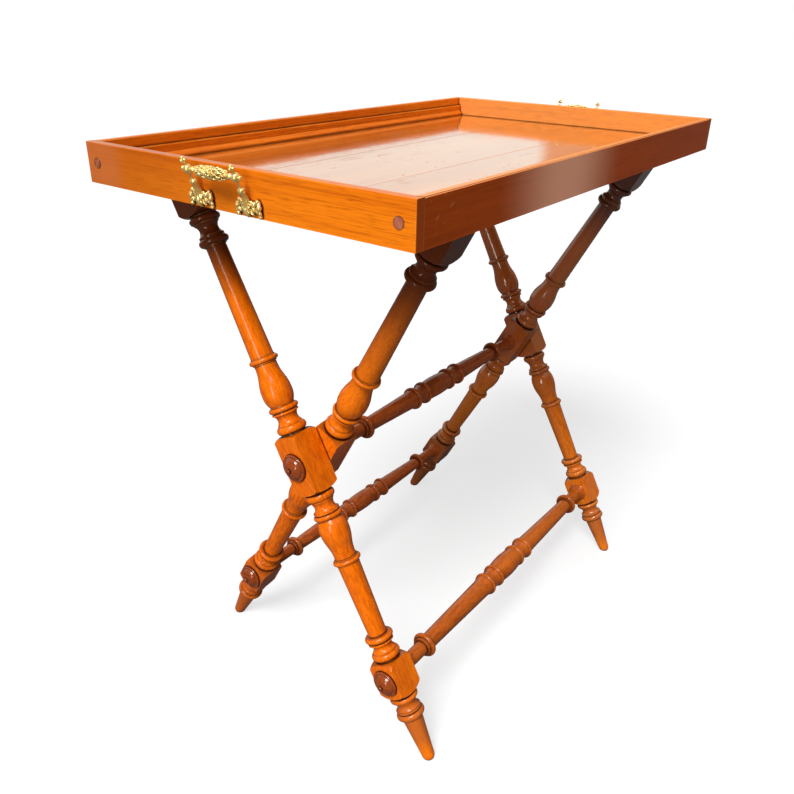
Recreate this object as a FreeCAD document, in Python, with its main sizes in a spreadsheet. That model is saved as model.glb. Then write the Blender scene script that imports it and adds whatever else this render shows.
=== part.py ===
"""Butler's tray on a folding stand with turned legs, in millimetres.

X runs along the stretchers, Y across the tray and Z up. The origin is on the floor under the middle of
the tray. The front is at -Y and the left end at -X. The outer legs lean back to their tops at +Y and the
inner legs forward to their tops at -Y, and they cross on the pivot axis, which runs along X.
"""
import FreeCAD
import Part
import Sketcher
import math
import os

DIMENSIONS = (
    # Tray
    ("tray_length", 836.0, "outer length along X"),
    ("tray_width", 500.0, "outer width along Y"),
    ("seat_height", 788.0, "underside of the tray floor, where the leg tops end"),
    ("wall_height", 49.0, "height of the sides and ends"),
    ("skirt_depth", 7.0, "how far the walls hang below the underside of the floor"),
    ("floor_thickness", 10.0, "thickness of the floor boards"),
    ("middle_board_width", 156.0, "width of the middle floor board"),
    ("groove_depth", 5.0, "how far the floor is let into the walls"),
    ("floor_play", 0.4, "room for the floor to swell at the bottom of its grooves"),
    ("end_thickness", 12.5, "thickness of the end boards"),
    ("end_web", 1.0, "wood left between the floor groove and the plugs and screws of an end board"),
    ("side_rim_thickness", 10.0, "thickness of a long side at its rim"),
    ("side_band_thickness", 14.0, "thickness of a long side at the second band"),
    ("side_nose_thickness", 18.5, "thickness of a long side just above the floor"),
    ("nose_height", 3.5, "floor up to the foot of the moulding's slope"),
    ("slope_height", 5.0, "height of the moulding's slope"),
    ("band_height", 10.0, "height of the moulding's second band"),
    ("skirt_thickness", 25.5, "thickness of a long side below the floor"),
    ("skirt_clearance", 0.5, "between the skirts and the leg tops that they hold"),
    ("rim_round", 1.2, "rounding of the rims and outer arrises"),
    ("plug_diameter", 12.5, "corner plugs"),
    ("plug_proud", 0.5, "corner plugs, how far they stand out"),
    ("plug_inset", 19.5, "corner plugs, from the face of the long side"),
    ("plug_drop", 24.0, "corner plugs, down from the rim"),
    # Stand
    ("pivot_height", 419.0, "pivot axis above the floor"),
    ("leg_stock", 43.5, "square stock of the legs"),
    ("leg_spacing", 539.0, "between the axes of the two inner legs"),
    ("leg_gap", 0.5, "between an outer leg and the inner leg beside it"),
    ("stretcher_height", 122.0, "lower stretchers above the floor"),
    ("crossing_block_length", 88.0, "square part of a leg at the pivot"),
    ("foot_block_length", 58.0, "square part of a leg at a lower stretcher"),
    ("top_block_length", 61.4, "square part of a leg below the tray"),
    ("crossing_shoulder", 6.5, "length of the turned shoulders of a crossing block"),
    ("block_shoulder", 10.0, "length of the turned shoulders of foot and top blocks"),
    ("shoulder_round", 2.0, "how far a shoulder bulges"),
    # Depths of the leg turnings below the flats of the stock
    ("ring_cut", 0.6, "rings and collars"),
    ("bead_cut", 1.2, "beads at the ends of the shafts"),
    ("fillet_cut", 4.5, "fillets between the forms"),
    ("step_cut", 2.9, "small steps below the flanges"),
    ("cove_cut", 7.4, "coves"),
    ("vase_cut", 0.15, "belly of the vases"),
    ("vase_swell_cut", 3.2, "vases where their neck ends and their belly starts to swell"),
    ("vase_neck_cut", 6.0, "necks of the vases"),
    ("shaft_thick_cut", 5.3, "thick ends of the shafts"),
    ("shaft_thin_cut", 7.9, "thin ends of the shafts"),
    ("top_neck_cut", 8.7, "neck below the top block"),
    ("foot_cone_cut", 6.2, "top of the foot cone"),
    # Lengths of the leg turnings along the axis
    ("fillet_length", 1.5, "fillets between the forms"),
    ("groove_length", 1.2, "grooves between a step and its flange"),
    ("step_length", 2.6, "small steps below the flanges"),
    ("ring_length", 12.0, "rings beside the crossing block"),
    ("flange_length", 7.5, "flanges at the feet of the vases"),
    ("cove_length", 14.5, "coves beside the crossing block"),
    ("vase_belly_length", 18.0, "foot of a vase to its belly"),
    ("vase_swell_length", 20.0, "belly of a vase to its neck"),
    ("vase_neck_length", 22.0, "neck of a vase"),
    ("vase_round", 1.3, "how far the short end of a vase bulges"),
    ("vase_sweep", 0.8, "how far the long end of a vase bulges"),
    ("vase_hollow", 1.0, "how far the neck of a vase is hollowed"),
    ("bead_length", 7.0, "beads between vases and shafts"),
    ("collar_length", 11.0, "stout rings of the foot turnings"),
    ("foot_cove_length", 12.0, "coves beside the foot blocks"),
    ("foot_ring_length", 9.0, "thin rings of the foot turnings"),
    ("top_collar_length", 9.0, "collar below the top block"),
    ("top_neck_length", 16.5, "neck below the top collar"),
    ("top_ring_length", 9.5, "ring below the top neck"),
    ("top_step_length", 3.5, "step between the top neck and its ring"),
    ("tip_radius", 9.5, "end of the foot cone"),
    ("tip_round", 6.0, "length of the rounded foot tip"),
    ("tip_bulge", 1.0, "how far the rounding of a foot tip bulges"),
    ("tip_flat_radius", 5.5, "flat end of the foot tip"),
    # Joinery of the stand
    ("pivot_tenon_diameter", 16.0, "ends of the pivot stretcher"),
    ("running_clearance", 0.05, "radial, pivot tenons in the outer legs"),
    ("glue_gap", 0.05, "radial, glued tenons, plugs and spigots"),
    ("tenon_diameter", 14.0, "ends of the lower stretchers"),
    ("tenon_length", 20.0, "ends of the lower stretchers and rails"),
    ("tenon_end_gap", 0.5, "beyond the end of a tenon or spigot"),
    ("rail_thickness", 20.0, "top rails"),
    ("rail_depth", 24.0, "top rails, below the seat"),
    ("rail_tenon_thickness", 9.0, "tenons of the top rails"),
    ("rail_tenon_depth", 12.0, "tenons of the top rails"),
    ("rail_tenon_drop", 6.0, "tenons of the top rails, below the seat"),
    ("cap_spigot_diameter", 8.0, "spigots of the turned caps"),
    ("cap_spigot_length", 10.0, "spigots of the turned caps"),
    ("cap_radius", 19.0, "rim of the turned caps"),
    ("cap_rim", 4.0, "height of the rim of a cap"),
    ("cap_rim_round", 0.8, "how far the rim of a cap bulges"),
    ("cap_dome_radius", 16.2, "dome of a cap"),
    ("cap_dome", 7.5, "height of the dome of a cap"),
    ("cap_dome_round", 2.2, "how far the dome of a cap bulges"),
    ("cap_nib_radius", 2.8, "nib of a cap"),
    ("cap_nib", 3.5, "height of the nib of a cap"),
    ("cap_nib_round", 0.6, "how far the nib of a cap bulges"),
    ("cap_clearance", 0.3, "between a pivot cap and its outer leg"),
    # Turnings of the stretchers: the front one is stouter than the other two
    ("front_barrel_radius", 19.2, "middle barrel of the front stretcher"),
    ("front_ring_radius", 19.5, "rings of the front stretcher"),
    ("front_dip_radius", 16.8, "beside the rings of the front stretcher"),
    ("front_thick_radius", 15.6, "thick ends of the shafts of the front stretcher"),
    ("front_thin_radius", 12.5, "thin ends of the shafts of the front stretcher"),
    ("front_neck_radius", 11.0, "end necks of the front stretcher"),
    ("front_flare_radius", 17.5, "ends of the front stretcher"),
    ("front_end_inset", 52.5, "end rings of the front stretcher, from the leg"),
    ("back_barrel_radius", 16.8, "middle barrel of the back and pivot stretchers"),
    ("back_ring_radius", 18.4, "rings of the back and pivot stretchers"),
    ("back_dip_radius", 15.1, "beside the rings of the back and pivot stretchers"),
    ("back_thick_radius", 14.0, "thick ends of the shafts of the back and pivot stretchers"),
    ("back_thin_radius", 11.2, "thin ends of the shafts of the back and pivot stretchers"),
    ("back_neck_radius", 10.0, "end necks of the back and pivot stretchers"),
    ("back_flare_radius", 15.5, "ends of the back and pivot stretchers"),
    ("back_end_inset", 62.0, "end rings of the back and pivot stretchers, from the leg"),
    ("barrel_length", 58.0, "middle barrel of a stretcher"),
    ("barrel_round", 0.5, "how far each half of a middle barrel bulges"),
    ("stretcher_ring_length", 7.5, "rings of a stretcher"),
    ("stretcher_groove_length", 16.0, "between the two middle rings of a stretcher"),
    ("stretcher_step_length", 2.0, "steps beside the rings of a stretcher"),
    ("shaft_start", 9.0, "middle rings to the thick end of the shaft"),
    ("end_ring_length", 9.0, "end rings of a stretcher"),
    ("end_step_length", 3.5, "steps between the end rings and end necks of a stretcher"),
    ("flare_length", 19.0, "ends of a stretcher that flare to the leg"),
    ("flare_hollow", 2.4, "how far the flare of a stretcher is hollowed"),
    # Brass handles
    ("handle_spacing", 74.5, "between the posts of a handle"),
    ("handle_foot_drop", 38.0, "rim down to the feet"),
    ("handle_ball_drop", 5.5, "rim down to the ball ends"),
    ("handle_reach", 18.0, "end board out to the ball ends"),
    ("plate_thickness", 4.0, "foot plates"),
    ("plate_radius", 7.0, "middle of a foot plate"),
    ("lobe_radius", 6.5, "side lobes of a foot plate"),
    ("lobe_overlap", 1.5, "how far a side lobe and the middle of a foot plate overlap"),
    ("lobe_rise", 1.0, "side lobes of a foot plate, above its middle"),
    ("curl_radius", 3.5, "lower curls of a foot plate"),
    ("curl_offset", 3.5, "lower curls of a foot plate, out from the side lobes"),
    ("curl_fall", 7.0, "lower curls of a foot plate, below the side lobes"),
    ("stem_base_radius", 4.4, "foot of a stem"),
    ("stem_neck_radius", 2.1, "thin part of a stem"),
    ("stem_flute_length", 14.0, "tapering foot of a stem"),
    ("knop_radius", 4.0, "knop on a stem"),
    ("knop_length", 7.5, "knop on a stem"),
    ("ball_radius", 5.0, "ball end of a post"),
    ("ear_radius", 2.3, "button on the outer side of a ball"),
    ("ear_length", 3.0, "button on the outer side of a ball"),
    ("grip_radius", 8.0, "middle of the grip"),
    ("grip_end_radius", 4.0, "ends of the grip's swelling"),
    ("grip_round", 1.2, "how far each half of the swelling bulges"),
    ("grip_bead_radius", 4.6, "bead beside each ball"),
    ("grip_bead_length", 6.0, "bead beside each ball"),
    ("grip_clearance", 0.3, "between the grip and a ball"),
    ("grip_spigot_diameter", 4.0, "ends of the grip inside the balls"),
    ("finial_spigot_diameter", 3.0, "spigots of the finials"),
    ("finial_spigot_length", 2.2, "spigots of the finials"),
    ("finial_neck_length", 4.8, "neck of a finial"),
    ("finial_radius", 3.2, "ball of a finial"),
    ("handle_screw_diameter", 2.8, "screws of the foot plates"),
    ("handle_screw_head_diameter", 5.0, "screws of the foot plates"),
    ("handle_screw_head", 1.3, "height of a screw head"),
)

# The two ends and the two long sides of the table
ENDS = (("left", -1), ("right", 1))
SIDES = (("front", -1), ("back", 1))

X_AXIS = FreeCAD.Vector(1, 0, 0)
Y_AXIS = FreeCAD.Vector(0, 1, 0)
Z_AXIS = FreeCAD.Vector(0, 0, 1)
QUARTER_TURN = 90.0
HALF_TURN = 180.0
FULL_TURN = 360.0
# How far a cutting outline reaches past the wood that it cuts
CUT_REACH = 12.0
# How much wider than its corners a square block is turned
CORNER_MARGIN = 1.0
# Lengths closer than this are the same
SAME = 0.01


class Size:
    """A length or an angle that knows its number and the sheet expression that gives it."""

    def __init__(self, value, text):
        self.value = float(value)
        self.text = text

    def __add__(self, other):
        other = as_size(other)
        return Size(self.value + other.value, f"({self.text} + {other.text})")

    def __sub__(self, other):
        other = as_size(other)
        return Size(self.value - other.value, f"({self.text} - {other.text})")

    def __mul__(self, other):
        other = as_size(other)
        return Size(self.value * other.value, f"({self.text} * {other.text})")

    def __truediv__(self, other):
        other = as_size(other)
        return Size(self.value / other.value, f"({self.text} / {other.text})")

    def __neg__(self):
        return Size(-self.value, f"(0 - {self.text})")


def as_size(number):
    """Returns a plain number as a Size, and a Size as it is."""
    return number if isinstance(number, Size) else Size(number, repr(float(number)))


def tangent(angle):
    return Size(math.tan(math.radians(angle.value)), f"tan({angle.text})")


def cosine(angle):
    return Size(math.cos(math.radians(angle.value)), f"cos({angle.text})")


def arccosine(ratio):
    return Size(math.degrees(math.acos(ratio.value)), f"acos({ratio.text})")


def arctangent(ratio):
    return Size(math.degrees(math.atan(ratio.value)), f"atan({ratio.text})")


def root(square):
    return Size(math.sqrt(square.value), f"sqrt({square.text})")


def make_sheet():
    """Writes the driving dimensions into the sheet, with their aliases."""
    for row, (alias, value, meaning) in enumerate(DIMENSIONS, start=1):
        sheet.set(f"A{row}", alias)
        sheet.set(f"B{row}", str(value))
        sheet.setAlias(f"B{row}", alias)
        sheet.set(f"C{row}", meaning)
    doc.recompute()


doc = FreeCAD.newDocument("butlers_tray_table")
sheet = doc.addObject("Spreadsheet::Sheet", "Sizes")
make_sheet()
SIZE = {alias: Size(value, f"Sizes.{alias}") for alias, value, meaning in DIMENSIONS}
ZERO = Size(0.0, "0")
pieces = []


class Constraints:
    """Constraints gathered for one sketch, with the sizes that some of them are bound to."""

    def __init__(self):
        self.items = []
        self.sizes = {}

    def add(self, *arguments):
        self.items.append(Sketcher.Constraint(*arguments))

    def bind(self, size, *arguments):
        """Adds a dimension whose value comes from the sheet."""
        self.sizes[len(self.items)] = size
        self.add(*arguments, size.value)

    def fix_point(self, point, corner):
        """Fixes a sketch point at a corner."""
        for kind, axis, size in (("DistanceX", -2, corner[0]), ("DistanceY", -1, corner[1])):
            if size is ZERO:
                self.add("PointOnObject", *point, axis)
            elif size.value > 0:
                self.bind(size, kind, -1, 1, *point)
            else:
                self.bind(-size, kind, *point, -1, 1)

    def apply(self, sketch):
        first = sketch.ConstraintCount
        sketch.addConstraint(self.items)
        for index, size in self.sizes.items():
            sketch.setExpression(f"Constraints[{first + index}]", size.text)


class Outline:
    """A closed run of lines and arcs, whose corners are bound to the sheet when it is drawn."""

    def __init__(self, x, y):
        self.corners = [(as_size(x), as_size(y))]
        self.bulges = []

    def line(self, x, y):
        """Goes straight to a corner."""
        return self.arc(x, y, None)

    def arc(self, x, y, bulge):
        """Goes to a corner by an arc that stands off its chord by bulge, to the right if positive."""
        self.corners.append((as_size(x), as_size(y)))
        self.bulges.append(bulge)
        return self

    def draw(self, sketch):
        """Adds the closed outline to a sketch and binds its corners and arcs."""
        self.bulges.append(None)
        first = sketch.GeometryCount
        edges = []
        starts = []
        ends = []
        rules = Constraints()
        for index, (corner, bulge) in enumerate(zip(self.corners, self.bulges)):
            following = self.corners[(index + 1) % len(self.corners)]
            start, end = vector(corner), vector(following)
            number = first + index
            if bulge is None:
                edges.append(Part.LineSegment(start, end))
            else:
                radius = arc_radius(corner, following, bulge)
                edges.append(bulged_arc(start, end, bulge.value, radius.value))
                rules.bind(radius, "Radius", number)
            clockwise = bulge is not None and bulge.value < 0
            starts.append((number, 2 if clockwise else 1))
            ends.append((number, 1 if clockwise else 2))
        for index, end in enumerate(ends):
            rules.add("Coincident", *end, *starts[(index + 1) % len(starts)])
        for start, corner in zip(starts, self.corners):
            rules.fix_point(start, corner)
        sketch.addGeometry(edges, False)
        rules.apply(sketch)


class Turning(Outline):
    """Half the outline of a turned piece: radius across, and place along its axis upwards."""

    def __init__(self, start):
        super().__init__(ZERO, start)

    @property
    def radius(self):
        return self.corners[-1][0]

    @property
    def place(self):
        return self.corners[-1][1]

    def step(self, radius):
        """Goes straight out or in to a radius."""
        return self.line(radius, self.place)

    def straight(self, length):
        """Goes along at the same radius."""
        return self.line(self.radius, self.place + length)

    def bead(self, length, radius):
        """Bulges out to a radius, or hollows in to it, and comes back."""
        return self.arc(self.radius, self.place + length, radius - self.radius)

    def ball(self, radius):
        """Ends on the axis with a ball that grows out of the radius reached so far."""
        rise = root(radius * radius - self.radius * self.radius) + radius
        half_chord_squared = (self.radius * self.radius + rise * rise) / 4
        return self.arc(ZERO, self.place + rise, radius - root(radius * radius - half_chord_squared))

    def close(self):
        """Goes in to the axis."""
        return self.step(ZERO)


def vector(corner):
    return FreeCAD.Vector(corner[0].value, corner[1].value, 0)


def arc_radius(corner, following, bulge):
    """Returns the radius of an arc over a chord with a bulge, as a positive Size."""
    height = bulge if bulge.value > 0 else -bulge
    across = following[0] - corner[0]
    along = following[1] - corner[1]
    return ((across * across + along * along) / 4 + height * height) / (height * 2)


def bulged_arc(start, end, bulge, radius):
    """Returns the arc from start to end that bulges to the right of its way, or left if negative."""
    chord = end - start
    right = FreeCAD.Vector(chord.y, -chord.x, 0).normalize()
    apex = (start + end) * 0.5 + right * bulge
    centre = apex - right * math.copysign(radius, bulge)
    first, last = (start, end) if bulge > 0 else (end, start)
    angles = [math.atan2(point.y - centre.y, point.x - centre.x) for point in (first, last)]
    return Part.ArcOfCircle(Part.Circle(centre, Z_AXIS, radius), *angles)


def draw_circle(sketch, x, y, diameter):
    """Adds a circle whose centre and diameter are bound to the sheet."""
    corner = (as_size(x), as_size(y))
    circle = sketch.addGeometry(Part.Circle(vector(corner), Z_AXIS, diameter.value / 2), False)
    rules = Constraints()
    rules.bind(diameter, "Diameter", circle)
    rules.fix_point((circle, 3), corner)
    rules.apply(sketch)


def draw_rectangle(sketch, low_x, low_y, high_x, high_y):
    Outline(low_x, low_y).line(high_x, low_y).line(high_x, high_y).line(low_x, high_y).draw(sketch)


def new_body(label):
    body = doc.addObject("PartDesign::Body", label)
    body.Label = label
    return body


def keep(piece):
    """Lists a finished sub-part for checking and writing."""
    pieces.append(piece)
    return piece


def origin_plane(body, role):
    return next(feature for feature in body.Origin.OriginFeatures if feature.Role == role)


def new_sketch(body, role, offset=ZERO):
    """Makes a sketch on one of the body's origin planes, moved along the plane's normal."""
    sketch = body.newObject("Sketcher::SketchObject", f"{body.Name}_sketch")
    sketch.AttachmentSupport = [(origin_plane(body, role), "")]
    sketch.MapMode = "FlatFace"
    sketch.setExpression(".AttachmentOffset.Base.z", offset.text)
    return sketch


def pad(body, sketch, length, symmetric=False, reverse=False):
    feature = body.newObject("PartDesign::Pad", f"{body.Name}_pad")
    feature.Profile = sketch
    feature.setExpression("Length", length.text)
    feature.SideType = "Symmetric" if symmetric else "One side"
    feature.Reversed = reverse
    return feature


def pocket(body, sketch, depth=None, symmetric=False, reverse=False):
    """Cuts a sketch into the body, against the sketch's normal, or right through without a depth."""
    feature = body.newObject("PartDesign::Pocket", f"{body.Name}_pocket")
    feature.Profile = sketch
    feature.SideType = "Symmetric" if symmetric else "One side"
    feature.Reversed = reverse
    if depth is None:
        feature.Type = "ThroughAll"
    else:
        feature.setExpression("Length", depth.text)
    return feature


def revolve(body, sketch):
    """Turns a sketch about its own upright axis."""
    feature = body.newObject("PartDesign::Revolution", f"{body.Name}_turning")
    feature.Profile = sketch
    feature.ReferenceAxis = (sketch, ["V_Axis"])
    feature.Angle = FULL_TURN
    return feature


def turn(body, turning):
    """Turns an outline about the body's Z axis."""
    sketch = new_sketch(body, "XZ_Plane")
    turning.draw(sketch)
    return revolve(body, sketch)


def mirror(body, feature):
    """Doubles a feature across the body's XY plane."""
    doubled = body.newObject("PartDesign::Mirrored", f"{body.Name}_mirror")
    doubled.Originals = [feature]
    doubled.MirrorPlane = (origin_plane(body, "XY_Plane"), [""])
    body.Tip = doubled
    return doubled


def round_edges(body, radius, chosen):
    """Rounds the edges of the body's last feature that the function chosen picks."""
    doc.recompute()
    base = body.Tip
    names = [f"Edge{number}" for number, edge in enumerate(base.Shape.Edges, start=1) if chosen(edge)]
    feature = body.newObject("PartDesign::Fillet", f"{body.Name}_fillet")
    feature.Base = (base, names)
    feature.setExpression("Radius", radius.text)


def place(piece, x=ZERO, y=ZERO, z=ZERO, axis=Z_AXIS, angle=ZERO):
    """Puts a piece in place: turned about an axis by an angle, then moved."""
    piece.Placement = FreeCAD.Placement(FreeCAD.Vector(), FreeCAD.Rotation(axis, angle.value))
    if angle is not ZERO:
        piece.setExpression(".Placement.Rotation.Angle", angle.text)
    for letter, size in zip("xyz", (x, y, z)):
        piece.setExpression(f".Placement.Base.{letter}", size.text)


def group(label, members):
    """Joins separate solids in one node, such as a set of fasteners."""
    compound = doc.addObject("Part::Compound", label)
    compound.Label = label
    compound.Links = members
    return keep(compound)


# Places that several pieces share

HALF_STOCK = SIZE["leg_stock"] / 2
# Outermost edge of a leg top, which the skirt of the tray holds, and the lean that brings it there
LEG_TOP_Y = SIZE["tray_width"] / 2 - SIZE["skirt_thickness"] - SIZE["skirt_clearance"]
LEG_TOP_RISE = SIZE["seat_height"] - SIZE["pivot_height"]
LEG_TOP_REACH = root(LEG_TOP_Y * LEG_TOP_Y + LEG_TOP_RISE * LEG_TOP_RISE)
LEAN = arccosine(HALF_STOCK / LEG_TOP_REACH) - arctangent(LEG_TOP_RISE / LEG_TOP_Y)
WALL_FOOT = SIZE["seat_height"] - SIZE["skirt_depth"]
RIM = WALL_FOOT + SIZE["wall_height"]
FLOOR_TOP = SIZE["seat_height"] + SIZE["floor_thickness"]
GROOVE_THICKNESS = SIZE["side_nose_thickness"] - SIZE["groove_depth"]
FLOOR_HALF_WIDTH = SIZE["tray_width"] / 2 - GROOVE_THICKNESS - SIZE["floor_play"]
INSIDE_LENGTH = SIZE["tray_length"] - SIZE["end_thickness"] * 2
INNER_LEG_X = SIZE["leg_spacing"] / 2
OUTER_LEG_X = INNER_LEG_X + SIZE["leg_stock"] + SIZE["leg_gap"]
# Along a leg from the pivot: the seat plane, the floor and the middle of the foot block
SEAT_REACH = LEG_TOP_RISE / cosine(LEAN)
FLOOR_REACH = SIZE["pivot_height"] / cosine(LEAN)
STRETCHER_DROP = SIZE["pivot_height"] - SIZE["stretcher_height"]
FOOT_REACH = STRETCHER_DROP / cosine(LEAN)
STRETCHER_Y = STRETCHER_DROP * tangent(LEAN)
# Steps of the moulding on the long sides, from the floor up
NOSE_TOP = FLOOR_TOP + SIZE["nose_height"]
SLOPE_TOP = NOSE_TOP + SIZE["slope_height"]
BAND_TOP = SLOPE_TOP + SIZE["band_height"]
# How deep plugs and screw holes go into an end board, which keeps them clear of the floor groove
END_HOLE_DEPTH = SIZE["end_thickness"] - SIZE["groove_depth"] - SIZE["end_web"]
# Side lobes of a handle's foot plate, from its middle
LOBE_OFFSET = SIZE["plate_radius"] + SIZE["lobe_radius"] - SIZE["lobe_overlap"]


# Tray

def make_floor_boards():
    """Three boards edge to edge, let into the four walls."""
    seam = SIZE["middle_board_width"] / 2
    edges = {
        "front": (-FLOOR_HALF_WIDTH, -seam),
        "middle": (-seam, seam),
        "back": (seam, FLOOR_HALF_WIDTH),
    }
    length = INSIDE_LENGTH + (SIZE["groove_depth"] - SIZE["floor_play"]) * 2
    for name, (low, high) in edges.items():
        body = new_body(f"tray_floor_board_{name}")
        sketch = new_sketch(body, "YZ_Plane")
        draw_rectangle(sketch, low, SIZE["seat_height"], high, FLOOR_TOP)
        pad(body, sketch, length, symmetric=True)
        keep(body)


def make_side(name, side):
    """A long side: stepped moulding inside, floor groove, and a skirt that holds the leg tops."""
    def across(thickness):
        return (SIZE["tray_width"] / 2 - thickness) * side

    rounding = SIZE["rim_round"]
    # An arc over a quarter turn stands off its chord by this share of its radius
    bulge = rounding * ((1 - math.sqrt(0.5)) * side)
    section = Outline(across(ZERO), WALL_FOOT)
    section.line(across(ZERO), RIM - rounding)
    section.arc(across(rounding), RIM, -bulge)
    section.line(across(SIZE["side_rim_thickness"] - rounding), RIM)
    section.arc(across(SIZE["side_rim_thickness"]), RIM - rounding, -bulge)
    section.line(across(SIZE["side_rim_thickness"]), BAND_TOP)
    section.line(across(SIZE["side_band_thickness"] - rounding), BAND_TOP)
    section.arc(across(SIZE["side_band_thickness"]), BAND_TOP - rounding, -bulge)
    section.line(across(SIZE["side_band_thickness"]), SLOPE_TOP)
    section.line(across(SIZE["side_nose_thickness"]), NOSE_TOP)
    section.line(across(SIZE["side_nose_thickness"]), FLOOR_TOP)
    section.line(across(GROOVE_THICKNESS), FLOOR_TOP)
    section.line(across(GROOVE_THICKNESS), SIZE["seat_height"])
    section.line(across(SIZE["skirt_thickness"]), SIZE["seat_height"])
    section.line(across(SIZE["skirt_thickness"]), WALL_FOOT)
    body = new_body(f"tray_side_{name}")
    sketch = new_sketch(body, "YZ_Plane")
    section.draw(sketch)
    pad(body, sketch, INSIDE_LENGTH, symmetric=True)
    keep(body)


def handle_screw_places():
    """Places of a handle's screws on its end board: across and up."""
    height = RIM - SIZE["handle_foot_drop"] + SIZE["lobe_rise"]
    for post in (-1, 1):
        for lobe in (-1, 1):
            yield SIZE["handle_spacing"] / 2 * post + LOBE_OFFSET * lobe, height


def make_end(name, end):
    """An end board, drawn with its outer face at X = 0 looking along +X, then turned into place."""
    body = new_body(f"tray_end_{name}")
    half_width = SIZE["tray_width"] / 2
    board = new_sketch(body, "YZ_Plane")
    draw_rectangle(board, -half_width, WALL_FOOT, half_width, RIM)
    pad(body, board, SIZE["end_thickness"], reverse=True)
    groove = new_sketch(body, "YZ_Plane", -SIZE["end_thickness"])
    reach = FLOOR_HALF_WIDTH + SIZE["floor_play"]
    draw_rectangle(groove, -reach, SIZE["seat_height"], reach, FLOOR_TOP)
    pocket(body, groove, SIZE["groove_depth"], reverse=True)
    plugs = new_sketch(body, "YZ_Plane")
    for side in (-1, 1):
        plug_y = (half_width - SIZE["plug_inset"]) * side
        draw_circle(plugs, plug_y, RIM - SIZE["plug_drop"], SIZE["plug_diameter"] + SIZE["glue_gap"] * 2)
    pocket(body, plugs, END_HOLE_DEPTH)
    pilots = new_sketch(body, "YZ_Plane")
    for screw_y, screw_z in handle_screw_places():
        draw_circle(pilots, screw_y, screw_z, SIZE["handle_screw_diameter"] + SIZE["glue_gap"] * 2)
    pocket(body, pilots, END_HOLE_DEPTH)

    def is_arris(edge):
        """Picks the rim's long edges and the two outer corner edges."""
        box = edge.BoundBox
        along_rim = box.ZMin > RIM.value - SAME and box.YLength > SIZE["tray_width"].value - SAME
        corner = box.XMin > -SAME and box.ZLength > SIZE["wall_height"].value - SAME
        return along_rim or corner

    round_edges(body, SIZE["rim_round"], is_arris)
    place_at_end(body, end)
    keep(body)


def place_at_end(piece, end, y=ZERO, z=ZERO, reach=ZERO):
    """Turns a piece drawn looking along +X to its end of the tray and moves it to the end board."""
    turned = 0.0 if end > 0 else HALF_TURN
    place(piece, (SIZE["tray_length"] / 2 + reach) * end, y * end, z, Z_AXIS, as_size(turned))


def make_corner_plugs():
    """Four round plugs in the end boards, near the corners."""
    plugs = []
    for end_name, end in ENDS:
        for side_name, side in SIDES:
            plug = doc.addObject("Part::Cylinder", f"plug_{end_name}_{side_name}")
            plug.setExpression("Radius", (SIZE["plug_diameter"] / 2).text)
            plug.setExpression("Height", (END_HOLE_DEPTH + SIZE["plug_proud"]).text)
            x = (SIZE["tray_length"] / 2 - END_HOLE_DEPTH) * end
            y = (SIZE["tray_width"] / 2 - SIZE["plug_inset"]) * side
            place(plug, x, y, RIM - SIZE["plug_drop"], Y_AXIS * end, as_size(QUARTER_TURN))
            plugs.append(plug)
    group("corner_plugs", plugs)


# Handles

BALL_RISE = SIZE["handle_foot_drop"] - SIZE["handle_ball_drop"]
# A stem starts inside its foot plate and leans out to the ball
STEM_OUT = SIZE["handle_reach"] - SIZE["plate_thickness"] / 2
STEM_LENGTH = root(STEM_OUT * STEM_OUT + BALL_RISE * BALL_RISE)
STEM_LEAN = arctangent(STEM_OUT / BALL_RISE)
# Bottom of a finial's socket along the stem, from the middle of the ball
FINIAL_FOOT = SIZE["ball_radius"] - SIZE["finial_spigot_length"]


def add_disc(body, radius, height, y, z):
    """Adds a disc to a foot plate, standing out along X."""
    disc = body.newObject("PartDesign::AdditiveCylinder", f"{body.Name}_disc")
    disc.AttachmentSupport = [(origin_plane(body, "YZ_Plane"), "")]
    disc.MapMode = "FlatFace"
    disc.setExpression("Radius", radius.text)
    disc.setExpression("Height", height.text)
    disc.setExpression(".AttachmentOffset.Base.x", y.text)
    disc.setExpression(".AttachmentOffset.Base.y", z.text)


def add_stem(body):
    """Adds the leaning stem with its knop and ball, drawn about its own axis."""
    ball = SIZE["ball_radius"]
    neck = SIZE["stem_neck_radius"]
    ball_foot = STEM_LENGTH - root(ball * ball - neck * neck)
    stem = Turning(ZERO)
    stem.step(SIZE["stem_base_radius"])
    stem.line(neck, SIZE["stem_flute_length"])
    knop_foot = (SIZE["stem_flute_length"] + ball_foot - SIZE["knop_length"]) / 2
    stem.line(neck, knop_foot)
    stem.bead(SIZE["knop_length"], SIZE["knop_radius"])
    stem.line(neck, ball_foot)
    stem.ball(ball)
    sketch = new_sketch(body, "XZ_Plane")
    sketch.AttachmentOffset = FreeCAD.Placement(FreeCAD.Vector(), FreeCAD.Rotation(-Z_AXIS, STEM_LEAN.value))
    sketch.setExpression(".AttachmentOffset.Rotation.Angle", STEM_LEAN.text)
    sketch.setExpression(".AttachmentOffset.Base.x", (SIZE["plate_thickness"] / 2).text)
    stem.draw(sketch)
    revolve(body, sketch)


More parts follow.
